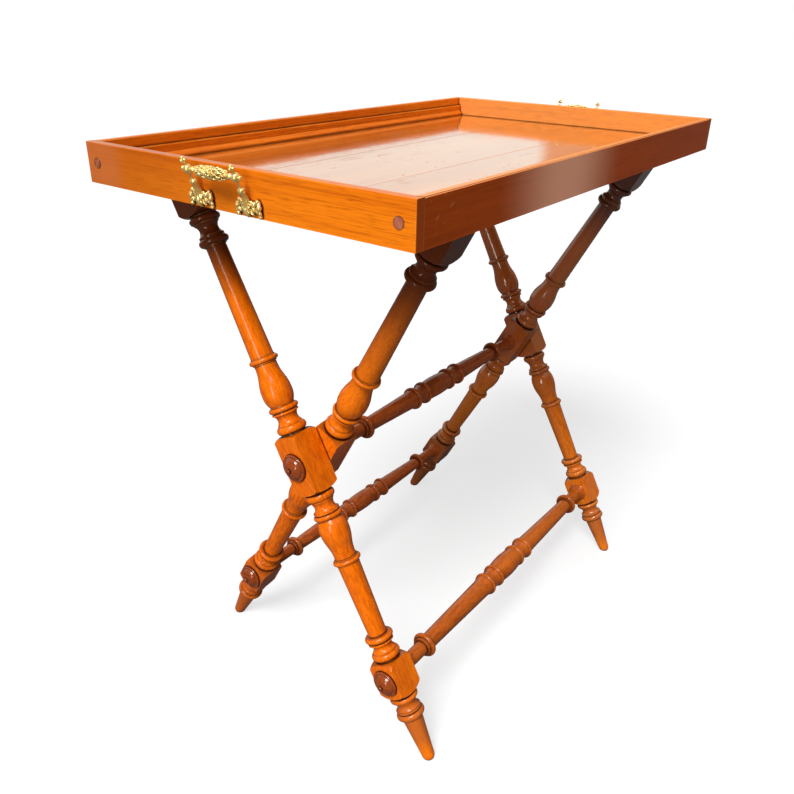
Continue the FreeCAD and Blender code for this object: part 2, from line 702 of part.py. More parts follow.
def make_post(end_name, end, side_name, side):
    """A handle post: lobed foot plate, leaning stem and ball, drawn at its foot, looking along +X."""
    body = new_body(f"{end_name}_handle_post_{side_name}")
    thickness = SIZE["plate_thickness"]
    add_disc(body, SIZE["plate_radius"], thickness, ZERO, ZERO)
    for lobe in (-1, 1):
        add_disc(body, SIZE["lobe_radius"], thickness, LOBE_OFFSET * lobe, SIZE["lobe_rise"])
        curl_y = (LOBE_OFFSET + SIZE["curl_offset"]) * lobe
        add_disc(body, SIZE["curl_radius"], thickness, curl_y, SIZE["lobe_rise"] - SIZE["curl_fall"])
    add_stem(body)
    # The post as drawn faces +X, so a post at the left end has its outer side turned round
    outer = side * end
    ear = new_sketch(body, "XZ_Plane")
    draw_circle(ear, SIZE["handle_reach"], BALL_RISE, SIZE["ear_radius"] * 2)
    pad(body, ear, SIZE["ball_radius"] + SIZE["ear_length"], reverse=outer > 0)
    back = new_sketch(body, "YZ_Plane")
    width = LOBE_OFFSET + SIZE["lobe_radius"] + CUT_REACH
    height = BALL_RISE + CUT_REACH
    draw_rectangle(back, -width, -height, width, height)
    pocket(body, back)
    socket = new_sketch(body, "XZ_Plane")
    draw_circle(socket, SIZE["handle_reach"], BALL_RISE, SIZE["grip_spigot_diameter"] + SIZE["glue_gap"] * 2)
    pocket(body, socket, reverse=outer > 0)
    top = new_sketch(body, "XY_Plane", BALL_RISE + FINIAL_FOOT * BALL_RISE / STEM_LENGTH)
    lean = FreeCAD.Rotation(Y_AXIS, STEM_LEAN.value)
    top.AttachmentOffset = FreeCAD.Placement(top.AttachmentOffset.Base, lean)
    top.setExpression(".AttachmentOffset.Rotation.Angle", STEM_LEAN.text)
    reach = SIZE["handle_reach"] + FINIAL_FOOT * STEM_OUT / STEM_LENGTH
    top.setExpression(".AttachmentOffset.Base.x", reach.text)
    draw_circle(top, ZERO, ZERO, SIZE["finial_spigot_diameter"] + SIZE["glue_gap"] * 2)
    pocket(body, top, reverse=True)
    holes = new_sketch(body, "YZ_Plane", thickness)
    for lobe in (-1, 1):
        hole = SIZE["handle_screw_diameter"] + SIZE["glue_gap"] * 2
        draw_circle(holes, LOBE_OFFSET * lobe, SIZE["lobe_rise"], hole)
    pocket(body, holes)
    place_at_end(body, end, SIZE["handle_spacing"] / 2 * outer, RIM - SIZE["handle_foot_drop"])
    keep(body)


def make_grip(end_name, end):
    """The swelling grip between the two balls, with spigots in them."""
    spigot = SIZE["grip_spigot_diameter"] / 2
    ball = SIZE["ball_radius"]
    shoulder = SIZE["handle_spacing"] / 2 - root(ball * ball - spigot * spigot) - SIZE["grip_clearance"]
    bead_foot = shoulder - SIZE["grip_bead_length"]
    swelling = Turning(ZERO)
    swelling.step(SIZE["grip_radius"])
    swelling.arc(SIZE["grip_end_radius"], bead_foot, SIZE["grip_round"])
    swelling.step(spigot)
    swelling.bead(SIZE["grip_bead_length"], SIZE["grip_bead_radius"])
    swelling.line(spigot, SIZE["handle_spacing"] / 2 - SIZE["tenon_end_gap"])
    swelling.close()
    body = new_body(f"{end_name}_handle_grip")
    mirror(body, turn(body, swelling))
    x = (SIZE["tray_length"] / 2 + SIZE["handle_reach"]) * end
    place(body, x, ZERO, RIM - SIZE["handle_ball_drop"], X_AXIS, as_size(QUARTER_TURN))
    keep(body)


def make_finials(end_name, end):
    """A small turned finial on each ball, in line with the stem."""
    spigot = SIZE["finial_spigot_diameter"] / 2
    finials = []
    for side_name, side in SIDES:
        outline = Turning(FINIAL_FOOT + SIZE["tenon_end_gap"])
        outline.step(spigot)
        outline.line(spigot, SIZE["ball_radius"] + SIZE["finial_neck_length"])
        outline.ball(SIZE["finial_radius"])
        body = new_body(f"{end_name}_finial_{side_name}")
        turn(body, outline)
        x = (SIZE["tray_length"] / 2 + SIZE["handle_reach"]) * end
        y = SIZE["handle_spacing"] / 2 * side
        place(body, x, y, RIM - SIZE["handle_ball_drop"], Y_AXIS * end, STEM_LEAN)
        finials.append(body)
    group(f"{end_name}_handle_finials", finials)


def make_handle_screws(end_name, end):
    """Four round-headed screws through the foot plates into the end board."""
    shank = SIZE["handle_screw_diameter"] / 2
    screws = []
    for number, (screw_y, screw_z) in enumerate(handle_screw_places(), start=1):
        outline = Turning(SIZE["tenon_end_gap"] - END_HOLE_DEPTH)
        outline.step(shank)
        outline.line(shank, SIZE["plate_thickness"])
        outline.step(SIZE["handle_screw_head_diameter"] / 2)
        outline.straight(SIZE["handle_screw_head"])
        outline.close()
        body = new_body(f"{end_name}_handle_screw_{number}")
        turn(body, outline)
        x = SIZE["tray_length"] / 2 * end
        place(body, x, screw_y, screw_z, Y_AXIS * end, as_size(QUARTER_TURN))
        screws.append(body)
    group(f"{end_name}_handle_screws", screws)


# Legs

# The blocks are turned wider than the corners of the stock and then cut square
BLOCK_RADIUS = HALF_STOCK * math.sqrt(2.0) + CORNER_MARGIN
RING = HALF_STOCK - SIZE["ring_cut"]
BEAD = HALF_STOCK - SIZE["bead_cut"]
FILLET = HALF_STOCK - SIZE["fillet_cut"]
STEP = HALF_STOCK - SIZE["step_cut"]
COVE = HALF_STOCK - SIZE["cove_cut"]
VASE_BELLY = HALF_STOCK - SIZE["vase_cut"]
VASE_SWELL = HALF_STOCK - SIZE["vase_swell_cut"]
VASE_NECK = HALF_STOCK - SIZE["vase_neck_cut"]
# The forms on each side of a foot block, and between the crossing block and a shaft
STEP_AND_GROOVE = SIZE["step_length"] + SIZE["groove_length"]
FOOT_CLUSTER = (SIZE["foot_ring_length"] + SIZE["foot_cove_length"] + SIZE["collar_length"]
                + STEP_AND_GROOVE + SIZE["fillet_length"] * 2)
VASE_LENGTH = SIZE["vase_belly_length"] + SIZE["vase_swell_length"] + SIZE["vase_neck_length"]
VASE_CLUSTER = (SIZE["ring_length"] + SIZE["cove_length"] + STEP_AND_GROOVE + SIZE["flange_length"]
                + VASE_LENGTH + SIZE["bead_length"] + SIZE["fillet_length"] * 5)
TOP_CLUSTER = (SIZE["top_ring_length"] + SIZE["top_step_length"] + SIZE["top_neck_length"]
               + SIZE["top_collar_length"] + SIZE["fillet_length"] * 3)
HALF_FOOT_BLOCK = SIZE["foot_block_length"] / 2
HALF_CROSSING = SIZE["crossing_block_length"] / 2
TOP_BLOCK_FOOT = SEAT_REACH - SIZE["top_block_length"]


def add_step_and_groove(leg):
    """Adds the small step beyond a cove and the groove that parts it from a flange."""
    leg.step(STEP)
    leg.straight(SIZE["step_length"])
    leg.step(FILLET)
    leg.straight(SIZE["groove_length"])


def add_groove_and_step(leg):
    """Adds the same forms the other way round, from the flange to the cove."""
    leg.straight(SIZE["groove_length"])
    leg.step(STEP)
    leg.straight(SIZE["step_length"])
    leg.step(FILLET)


def turn_foot():
    """From the rounded tip up to the foot block."""
    leg = Turning(-FLOOR_REACH - SIZE["tip_round"] / 2)
    leg.step(SIZE["tip_flat_radius"])
    leg.arc(SIZE["tip_radius"], -FLOOR_REACH + SIZE["tip_round"], SIZE["tip_bulge"])
    leg.line(HALF_STOCK - SIZE["foot_cone_cut"], -FOOT_REACH - HALF_FOOT_BLOCK - FOOT_CLUSTER)
    leg.step(FILLET)
    leg.bead(SIZE["collar_length"], RING)
    add_groove_and_step(leg)
    leg.bead(SIZE["foot_cove_length"], COVE)
    leg.straight(SIZE["fillet_length"])
    leg.bead(SIZE["foot_ring_length"], RING)
    leg.straight(SIZE["fillet_length"])
    return leg.close()


def turn_foot_block():
    """The foot block with its turned shoulders, and the rings, cove and step above it."""
    leg = Turning(-FOOT_REACH - HALF_FOOT_BLOCK)
    leg.step(FILLET)
    leg.arc(BLOCK_RADIUS, leg.place + SIZE["block_shoulder"], SIZE["shoulder_round"])
    leg.line(BLOCK_RADIUS, -FOOT_REACH + HALF_FOOT_BLOCK - SIZE["block_shoulder"])
    leg.arc(FILLET, -FOOT_REACH + HALF_FOOT_BLOCK, SIZE["shoulder_round"])
    leg.straight(SIZE["fillet_length"])
    leg.bead(SIZE["collar_length"], RING)
    leg.straight(SIZE["fillet_length"])
    leg.bead(SIZE["foot_cove_length"], COVE)
    add_step_and_groove(leg)
    leg.bead(SIZE["foot_ring_length"], RING)
    return leg.close()


def turn_lower_part():
    """The lower shaft, and the bead, vase, flange and ring between it and the crossing block."""
    leg = Turning(-FOOT_REACH + HALF_FOOT_BLOCK + FOOT_CLUSTER)
    leg.step(HALF_STOCK - SIZE["shaft_thin_cut"])
    leg.line(HALF_STOCK - SIZE["shaft_thick_cut"], -HALF_CROSSING - VASE_CLUSTER)
    leg.step(FILLET)
    leg.straight(SIZE["fillet_length"])
    leg.bead(SIZE["bead_length"], BEAD)
    leg.straight(SIZE["fillet_length"])
    leg.step(VASE_NECK)
    leg.arc(VASE_SWELL, leg.place + SIZE["vase_neck_length"], -SIZE["vase_hollow"])
    leg.arc(VASE_BELLY, leg.place + SIZE["vase_swell_length"], SIZE["vase_sweep"])
    leg.arc(FILLET, leg.place + SIZE["vase_belly_length"], SIZE["vase_round"])
    leg.straight(SIZE["fillet_length"])
    leg.bead(SIZE["flange_length"], RING)
    add_groove_and_step(leg)
    leg.bead(SIZE["cove_length"], COVE)
    leg.straight(SIZE["fillet_length"])
    leg.bead(SIZE["ring_length"], RING)
    leg.straight(SIZE["fillet_length"])
    return leg.close()


def turn_crossing_block():
    """The crossing block with its turned shoulders."""
    leg = Turning(-HALF_CROSSING)
    leg.step(FILLET)
    leg.arc(BLOCK_RADIUS, -HALF_CROSSING + SIZE["crossing_shoulder"], SIZE["shoulder_round"])
    leg.line(BLOCK_RADIUS, HALF_CROSSING - SIZE["crossing_shoulder"])
    leg.arc(FILLET, HALF_CROSSING, SIZE["shoulder_round"])
    return leg.close()


def turn_upper_part():
    """The ring, flange, vase and bead above the crossing block, and the upper shaft."""
    leg = Turning(HALF_CROSSING)
    leg.step(FILLET)
    leg.straight(SIZE["fillet_length"])
    leg.bead(SIZE["ring_length"], RING)
    leg.straight(SIZE["fillet_length"])
    leg.bead(SIZE["cove_length"], COVE)
    add_step_and_groove(leg)
    leg.bead(SIZE["flange_length"], RING)
    leg.straight(SIZE["fillet_length"])
    leg.arc(VASE_BELLY, leg.place + SIZE["vase_belly_length"], SIZE["vase_round"])
    leg.arc(VASE_SWELL, leg.place + SIZE["vase_swell_length"], SIZE["vase_sweep"])
    leg.arc(VASE_NECK, leg.place + SIZE["vase_neck_length"], -SIZE["vase_hollow"])
    leg.step(FILLET)
    leg.straight(SIZE["fillet_length"])
    leg.bead(SIZE["bead_length"], BEAD)
    leg.straight(SIZE["fillet_length"])
    leg.step(HALF_STOCK - SIZE["shaft_thick_cut"])
    leg.line(HALF_STOCK - SIZE["shaft_thin_cut"], TOP_BLOCK_FOOT - TOP_CLUSTER)
    return leg.close()


def turn_top_part():
    """The ring, neck and collar below the top block, and the block to above the seat."""
    leg = Turning(TOP_BLOCK_FOOT - TOP_CLUSTER)
    leg.step((HALF_STOCK - SIZE["shaft_thin_cut"] + FILLET) / 2)
    leg.straight(SIZE["fillet_length"])
    leg.step(FILLET)
    leg.bead(SIZE["top_ring_length"], BEAD)
    leg.straight(SIZE["top_step_length"])
    leg.bead(SIZE["top_neck_length"], HALF_STOCK - SIZE["top_neck_cut"])
    leg.straight(SIZE["fillet_length"])
    leg.bead(SIZE["top_collar_length"], RING)
    leg.straight(SIZE["fillet_length"])
    leg.arc(BLOCK_RADIUS, leg.place + SIZE["block_shoulder"], SIZE["shoulder_round"])
    leg.line(BLOCK_RADIUS, SEAT_REACH + HALF_STOCK * tangent(LEAN) + CUT_REACH)
    return leg.close()


LEG_SECTIONS = (turn_foot, turn_foot_block, turn_lower_part, turn_crossing_block, turn_upper_part,
                turn_top_part)


def square_leg(body):
    """Cuts the blocks of a turned leg to the square stock."""
    sketch = new_sketch(body, "XY_Plane")
    outer = BLOCK_RADIUS + CUT_REACH
    draw_rectangle(sketch, -outer, -outer, outer, outer)
    draw_rectangle(sketch, -HALF_STOCK, -HALF_STOCK, HALF_STOCK, HALF_STOCK)
    pocket(body, sketch, symmetric=True)


def cut_level(body, lean, reach, upwards):
    """Cuts a leg level with the floor where its axis is at reach, and takes away what is beyond."""
    half = BLOCK_RADIUS + CUT_REACH
    rise = half * tangent(LEAN) * lean
    beyond = reach + (half * tangent(LEAN) + CUT_REACH) * (1 if upwards else -1)
    sketch = new_sketch(body, "YZ_Plane")
    Outline(-half, reach - rise).line(half, reach + rise).line(half, beyond).line(-half, beyond).draw(sketch)
    pocket(body, sketch, symmetric=True)


def bore_leg(body, centre, diameter, depth, face):
    """Bores a round hole into the +X or -X face of a leg."""
    sketch = new_sketch(body, "YZ_Plane", HALF_STOCK * face)
    draw_circle(sketch, ZERO, centre, diameter + SIZE["glue_gap"] * 2)
    pocket(body, sketch, depth + SIZE["tenon_end_gap"], reverse=face < 0)


def cut_mortise(body, face):
    """Cuts the mortise of the top rail into the inner face of a leg."""
    sketch = new_sketch(body, "YZ_Plane", HALF_STOCK * face)
    gap = SIZE["glue_gap"]
    half = SIZE["rail_tenon_thickness"] / 2 + gap
    high = SEAT_REACH - SIZE["rail_tenon_drop"] + gap
    low = SEAT_REACH - SIZE["rail_tenon_drop"] - SIZE["rail_tenon_depth"] - gap
    draw_rectangle(sketch, -half, low, half, high)
    pocket(body, sketch, SIZE["tenon_length"] + SIZE["tenon_end_gap"], reverse=face < 0)


def place_on_leg(piece, x, lean):
    """Puts a piece that is drawn along a leg's axis, with the pivot at its origin, into place."""
    place(piece, x, ZERO, SIZE["pivot_height"], X_AXIS * -lean, LEAN)


def make_leg(kind, lean, leg_x, pivot_clearance, end_name, end):
    """A leg drawn along Z with the pivot at its origin. lean is +1 where its top is at +Y."""
    body = new_body(f"{kind}_leg_{end_name}")
    for section in LEG_SECTIONS:
        turn(body, section())
    square_leg(body)
    cut_level(body, lean, SEAT_REACH, upwards=True)
    cut_level(body, lean, -FLOOR_REACH, upwards=False)
    pivot = new_sketch(body, "YZ_Plane")
    draw_circle(pivot, ZERO, ZERO, SIZE["pivot_tenon_diameter"] + pivot_clearance * 2)
    pocket(body, pivot, symmetric=True)
    bore_leg(body, -FOOT_REACH, SIZE["tenon_diameter"], SIZE["tenon_length"], -end)
    bore_leg(body, -FOOT_REACH, SIZE["cap_spigot_diameter"], SIZE["cap_spigot_length"], end)
    cut_mortise(body, -end)
    place_on_leg(body, leg_x * end, lean)
    keep(body)


def make_top_rail(kind, lean, leg_x):
    """A rail between two leg tops, level on top, with a tenon in each leg."""
    body = new_body(f"{kind}_top_rail")
    half = SIZE["rail_thickness"] / 2
    rise = half * tangent(LEAN) * lean
    low = SEAT_REACH - SIZE["rail_depth"]
    section = Outline(-half, low).line(half, low).line(half, SEAT_REACH + rise).line(-half, SEAT_REACH - rise)
    sketch = new_sketch(body, "YZ_Plane")
    section.draw(sketch)
    between = (leg_x - HALF_STOCK) * 2
    pad(body, sketch, between, symmetric=True)
    tenon = new_sketch(body, "YZ_Plane")
    half_tenon = SIZE["rail_tenon_thickness"] / 2
    tenon_top = SEAT_REACH - SIZE["rail_tenon_drop"]
    draw_rectangle(tenon, -half_tenon, tenon_top - SIZE["rail_tenon_depth"], half_tenon, tenon_top)
    pad(body, tenon, between + SIZE["tenon_length"] * 2, symmetric=True)
    place_on_leg(body, ZERO, lean)
    keep(body)


# Stretchers and caps

def stretcher_outline(kind, half_length, tenon_radius, tenon_length):
    """Half of a turned stretcher, from its middle to the end of its tenon. kind is front or back."""
    ring = SIZE[f"{kind}_ring_radius"]
    dip = SIZE[f"{kind}_dip_radius"]
    neck = SIZE[f"{kind}_neck_radius"]
    thin = SIZE[f"{kind}_thin_radius"]
    step = SIZE["stretcher_step_length"]
    half = Turning(ZERO)
    half.step(SIZE[f"{kind}_barrel_radius"])
    half.arc(dip, SIZE["barrel_length"] / 2, SIZE["barrel_round"])
    half.straight(step)
    half.bead(SIZE["stretcher_ring_length"], ring)
    half.straight(step)
    half.bead(SIZE["stretcher_groove_length"], SIZE[f"{kind}_thick_radius"])
    half.straight(step)
    half.bead(SIZE["stretcher_ring_length"], ring)
    half.straight(step)
    half.line(SIZE[f"{kind}_thick_radius"], half.place + SIZE["shaft_start"])
    end_ring = half_length - SIZE[f"{kind}_end_inset"] - SIZE["end_ring_length"] / 2
    half.line(thin, end_ring - step)
    half.step((thin + dip) / 2)
    half.straight(step)
    half.bead(SIZE["end_ring_length"], ring)
    half.straight(SIZE["end_step_length"])
    half.step(neck)
    half.line(neck, half_length - SIZE["flare_length"])
    half.arc(SIZE[f"{kind}_flare_radius"], half_length, -SIZE["flare_hollow"])
    half.step(tenon_radius)
    half.straight(tenon_length)
    return half.close()


def make_stretcher(name, kind, leg_x, y, z):
    """A lower stretcher between two legs, turned, with a round tenon in each leg."""
    body = new_body(name)
    half_length = leg_x - HALF_STOCK
    outline = stretcher_outline(kind, half_length, SIZE["tenon_diameter"] / 2, SIZE["tenon_length"])
    mirror(body, turn(body, outline))
    place(body, ZERO, y, z, Y_AXIS, as_size(QUARTER_TURN))
    keep(body)


def make_pivot_stretcher():
    """The stretcher on the pivot axis, whose long tenons pass through both legs at each end."""
    body = new_body("pivot_stretcher")
    half_length = INNER_LEG_X - HALF_STOCK
    tenon_length = SIZE["leg_stock"] * 2 + SIZE["leg_gap"] - SIZE["tenon_end_gap"]
    outline = stretcher_outline("back", half_length, SIZE["pivot_tenon_diameter"] / 2, tenon_length)
    mirror(body, turn(body, outline))
    # Sockets for the spigots of the pivot caps
    for end in (-1, 1):
        sketch = new_sketch(body, "XY_Plane", (half_length + tenon_length) * end)
        draw_circle(sketch, ZERO, ZERO, SIZE["cap_spigot_diameter"] + SIZE["glue_gap"] * 2)
        pocket(body, sketch, SIZE["cap_spigot_length"], reverse=end < 0)
    place(body, ZERO, ZERO, SIZE["pivot_height"], Y_AXIS, as_size(QUARTER_TURN))
    keep(body)


def make_cap(name, end, face_x, y, z, stand_off):
    """A turned cap with a rim, a dome and a nib, whose spigot goes into what it covers."""
    cap = Turning(-SIZE["cap_spigot_length"] + stand_off)
    cap.step(SIZE["cap_spigot_diameter"] / 2)
    cap.line(SIZE["cap_spigot_diameter"] / 2, stand_off)
    cap.step(SIZE["cap_radius"])
    cap.bead(SIZE["cap_rim"], SIZE["cap_radius"] + SIZE["cap_rim_round"])
    cap.step(SIZE["cap_dome_radius"])
    cap.arc(SIZE["cap_nib_radius"], cap.place + SIZE["cap_dome"], SIZE["cap_dome_round"])
    cap.bead(SIZE["cap_nib"], SIZE["cap_nib_radius"] + SIZE["cap_nib_round"])
    cap.close()
    body = new_body(name)
    turn(body, cap)
    place(body, face_x * end, y, z, Y_AXIS * end, as_size(QUARTER_TURN))
    keep(body)


def make_tray():
    make_floor_boards()
    for name, side in SIDES:
        make_side(name, side)
    for name, end in ENDS:
        make_end(name, end)
    make_corner_plugs()


def make_handles():
    for end_name, end in ENDS:
        make_grip(end_name, end)
        for side_name, side in SIDES:
            make_post(end_name, end, side_name, side)
        make_finials(end_name, end)
        make_handle_screws(end_name, end)


def make_stand():
    frames = (
        ("outer", 1, OUTER_LEG_X, SIZE["running_clearance"]),
        ("inner", -1, INNER_LEG_X, SIZE["glue_gap"]),
    )
    for kind, lean, leg_x, clearance in frames:
        for end_name, end in ENDS:
            make_leg(kind, lean, leg_x, clearance, end_name, end)
            foot_y = STRETCHER_Y * -lean
            face_x = leg_x + HALF_STOCK
            make_cap(f"{kind}_foot_cap_{end_name}", end, face_x, foot_y, SIZE["stretcher_height"], ZERO)
        make_top_rail(kind, lean, leg_x)
    make_stretcher("front_stretcher", "front", OUTER_LEG_X, -STRETCHER_Y, SIZE["stretcher_height"])
    make_stretcher("back_stretcher", "back", INNER_LEG_X, STRETCHER_Y, SIZE["stretcher_height"])
    make_pivot_stretcher()
    for end_name, end in ENDS:
        face_x = OUTER_LEG_X + HALF_STOCK
        make_cap(f"pivot_cap_{end_name}", end, face_x, ZERO, SIZE["pivot_height"], SIZE["cap_clearance"])


def check_document():
    """Stops if an object failed, a cut took nothing away or a sub-part isn't sound."""
    for item in doc.Objects:
        if "Invalid" in item.State or "Error" in item.State:
            raise RuntimeError(f"{item.Name} failed: {item.State}")
        if item.isDerivedFrom("PartDesign::Pocket"):
            if item.Shape.Volume > item.BaseFeature.Shape.Volume - SAME:
                raise RuntimeError(f"{item.Name} cuts nothing")
    for piece in pieces:
        if piece.Shape.isNull() or not piece.Shape.isValid() or not piece.Shape.Solids:
            raise RuntimeError(f"{piece.Label} is not a sound solid")


def write_parts():
    os.makedirs("parts", exist_ok=True)
    for piece in pieces:
        piece.Shape.exportStep(f"parts/{piece.Label}.step")
        print(f"{piece.Label}: {len(piece.Shape.Solids)} solid(s), {piece.Shape.Volume / 1000:.1f} cm3")


make_tray()
make_handles()
make_stand()
doc.recompute()
check_document()
write_parts()
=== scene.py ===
"""Looks of a butler's tray on a folding stand: polished wood, gilt cast handles, studio and camera.

Every length is in metres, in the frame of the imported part: X along the tray, Y across it and Z up. The
turned and boarded pieces keep their solids and get their finish here. The cast handles are modelled here.
"""
import logging
import math
from dataclasses import dataclass, field, replace
from enum import Enum

import bpy
import numpy as np
from mathutils import Matrix, Vector


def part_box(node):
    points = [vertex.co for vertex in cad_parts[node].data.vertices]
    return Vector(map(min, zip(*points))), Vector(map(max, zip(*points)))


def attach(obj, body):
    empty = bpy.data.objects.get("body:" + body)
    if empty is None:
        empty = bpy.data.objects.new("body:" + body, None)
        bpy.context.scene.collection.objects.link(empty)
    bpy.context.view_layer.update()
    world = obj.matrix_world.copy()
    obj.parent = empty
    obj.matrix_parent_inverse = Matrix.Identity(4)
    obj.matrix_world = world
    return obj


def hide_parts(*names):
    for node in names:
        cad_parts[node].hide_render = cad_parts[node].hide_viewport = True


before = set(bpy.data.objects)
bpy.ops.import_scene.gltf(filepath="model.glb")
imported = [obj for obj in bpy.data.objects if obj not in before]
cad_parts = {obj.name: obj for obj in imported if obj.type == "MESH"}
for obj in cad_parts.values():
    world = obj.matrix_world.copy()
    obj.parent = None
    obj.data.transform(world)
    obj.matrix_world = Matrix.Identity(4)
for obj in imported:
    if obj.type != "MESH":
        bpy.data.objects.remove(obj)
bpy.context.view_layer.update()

Colour = tuple[float, float, float]
Pair = tuple[float, float]
Profile = tuple[Pair, ...]
LeafCut = tuple[tuple[Colour, Colour, Colour], float, float]
Socket = bpy.types.NodeSocket

LOG = logging.getLogger("tray_table")
ALONG: Colour = (1.0, 0.0, 0.0)
ACROSS: Colour = (0.0, 1.0, 0.0)
UP: Colour = (0.0, 0.0, 1.0)
X_AXIS = Vector(ALONG)
Y_AXIS = Vector(ACROSS)
Z_AXIS = Vector(UP)
TURN = 2.0 * math.pi
HANDS = (-1, 1)
WHITE = (1.0, 1.0, 1.0, 1.0)
GRAIN_STEP: Colour = (0.37, 0.61, 0.23)


class Edge(Enum):
    """An edge of the tray, with its sign along its axis."""

    @property
    def word(self) -> str:
        """The edge's name as the nodes spell it."""
        return self.name.lower()


class End(Edge):
    """The two short ends, with their sign along X."""

    LEFT = -1
    RIGHT = 1


class Side(Edge):
    """The two long sides, with their sign along Y."""

    FRONT = -1
    BACK = 1


class Slot(Enum):
    """Material slots of the record."""

    BRASS = "gilt_brass"


def middle(node: str) -> Vector:
    """Returns the middle of a node's box at rest, in metres."""
    low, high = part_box(node)
    return (low + high) / 2


def even(waves: float) -> Colour:
    """Returns the same number of waves along each axis."""
    return (waves, waves, waves)


def grained(run: float, across: float) -> Colour:
    """Returns a number of waves along the grain and another across it."""
    return (run, across, across)


def new_mesh(name: str, points: np.ndarray, faces: list[tuple[int, ...]]) -> bpy.types.Mesh:
    """Makes a mesh.

    Args:
        name: name of the mesh.
        points: its points.
        faces: numbers of the points round each face.

    Returns:
        The mesh.
    """
    mesh = bpy.data.meshes.new(name)
    mesh.from_pydata([tuple(point) for point in points], [], faces)
    return mesh


def new_object(name: str, data: bpy.types.ID) -> bpy.types.Object:
    """Makes an object and puts it in the scene.

    Args:
        name: name of the object.
        data: its mesh, lamp or camera.

    Returns:
        The object.
    """
    thing = bpy.data.objects.new(name, data)
    bpy.context.scene.collection.objects.link(thing)
    return thing


class NodeSheet:
    """Adds and joins the nodes of one material or world."""

    def __init__(self, owner: bpy.types.Material | bpy.types.World) -> None:
        """Starts with an empty tree.

        Args:
            owner: the material or world whose nodes are made.
        """
        owner.use_nodes = True
        self.tree = owner.node_tree
        self.tree.nodes.clear()

    def add(self, kind: str, inputs: dict | None = None, **settings: object) -> bpy.types.Node:
        """Adds a node.

        Args:
            kind: Blender's name of the node's type.
            inputs: value or socket for each input, by name or number.
            settings: properties of the node itself.

        Returns:
            The new node.
        """
        node = self.tree.nodes.new(kind)
        for key, value in settings.items():
            setattr(node, key, value)
        for key, value in (inputs or {}).items():
            if isinstance(value, Socket):
                self.tree.links.new(value, node.inputs[key])
            else:
                node.inputs[key].default_value = value
        return node

    def math(self, operation: str, first: Socket | float, second: Socket | float = 0.0,
             third: Socket | float = 0.0) -> Socket:
        """Returns the result of a Math node."""
        return self.add("ShaderNodeMath", {0: first, 1: second, 2: third}, operation=operation).outputs[0]

    def times(self, first: Socket, second: Socket | float) -> Socket:
        """Returns the product of two values."""
        return self.math("MULTIPLY", first, second)

    def off(self, value: Socket, level: float) -> Socket:
        """Returns how far a value is from a level, either way."""
        return self.math("ABSOLUTE", self.math("SUBTRACT", value, level))

    def mapped(self, place: Socket, **change: Colour) -> Socket:
        """Returns a place after the given location, rotation or scale."""
        inputs = {key.title(): value for key, value in change.items()}
        return self.add("ShaderNodeMapping", {"Vector": place, **inputs}).outputs[0]

    def noise(self, place: Socket, waves: Colour, detail: float = 2.0, swirl: float = 0.0) -> Socket:
        """Returns a soft noise from 0 to 1, with so many waves in a metre along each axis."""
        inputs = {"Vector": self.mapped(place, scale=waves), "Scale": 1.0, "Detail": detail,
                  "Distortion": swirl}
        return self.add("ShaderNodeTexNoise", inputs).outputs[0]

    def between(self, value: Socket, low: float, high: float) -> Socket:
        """Returns a value spread smoothly so that low becomes 0 and high becomes 1."""
        inputs = {"Value": value, "From Min": low, "From Max": high}
        return self.add("ShaderNodeMapRange", inputs, interpolation_type="SMOOTHSTEP").outputs[0]

    def mix(self, share: Socket, first: Socket | Colour, second: Socket | Colour) -> Socket:
        """Returns a mix of two colours.

        Args:
            share: share of the second colour.
            first: first colour.
            second: second colour.

        Returns:
            The mixed colour.
        """
        node = self.add("ShaderNodeMix", {0: share}, data_type="RGBA")
        for number, colour in ((6, first), (7, second)):
            if isinstance(colour, Socket):
                self.tree.links.new(colour, node.inputs[number])
            else:
                node.inputs[number].default_value = (*colour, 1.0)
        return node.outputs[2]

    def lay(self, below: Socket, over: Socket | Colour, share: Socket, most: Socket | float) -> Socket:
        """Returns a colour with another laid over it, by a share of the most that it covers."""
        return self.mix(self.times(share, most), below, over)

    def hollows(self, reach: float, own: bool = True) -> Socket:
        """Returns how deep a point lies among walls within reach, of its own piece or any, from 0 to 1."""
        shade = self.add("ShaderNodeAmbientOcclusion", {"Distance": reach}, only_local=own, samples=8)
        return self.math("SUBTRACT", 1.0, shade.outputs["AO"])

    def along(self, place: Socket, axis: Socket | Colour) -> Socket:
        """Returns how far a place or a normal reaches along an axis of length 1."""
        return self.add("ShaderNodeVectorMath", {0: place, 1: axis}, operation="DOT_PRODUCT").outputs["Value"]

    def bump(self, height: Socket, strength: float, distance: float, below: Socket | None = None) -> Socket:
        """Returns a normal that is disturbed by a height.

        Args:
            height: the height, from 0 to 1.
            strength: strength of the effect.
            distance: real height of a step of 1.
            below: normal that is disturbed, or the surface's own.

        Returns:
            The disturbed normal.
        """
        inputs = {"Height": height, "Strength": strength, "Distance": distance}
        if below:
            inputs["Normal"] = below
        return self.add("ShaderNodeBump", inputs).outputs[0]

    def finish(self, surface: bpy.types.Node) -> None:
        """Joins the shader to the material's output."""
        self.add("ShaderNodeOutputMaterial", {"Surface": surface.outputs[0]})


@dataclass(frozen=True)
class Pattern:
    """A noise cut to a mark: its waves in a metre along each axis, and the levels that become 0 and 1."""

    waves: Colour
    low: float
    high: float
    detail: float = 2.0
    swirl: float = 0.0

    def on(self, sheet: NodeSheet, place: Socket) -> Socket:
        """Returns the pattern at a place, from 0 to 1."""
        return sheet.between(sheet.noise(place, self.waves, self.detail, self.swirl), self.low, self.high)


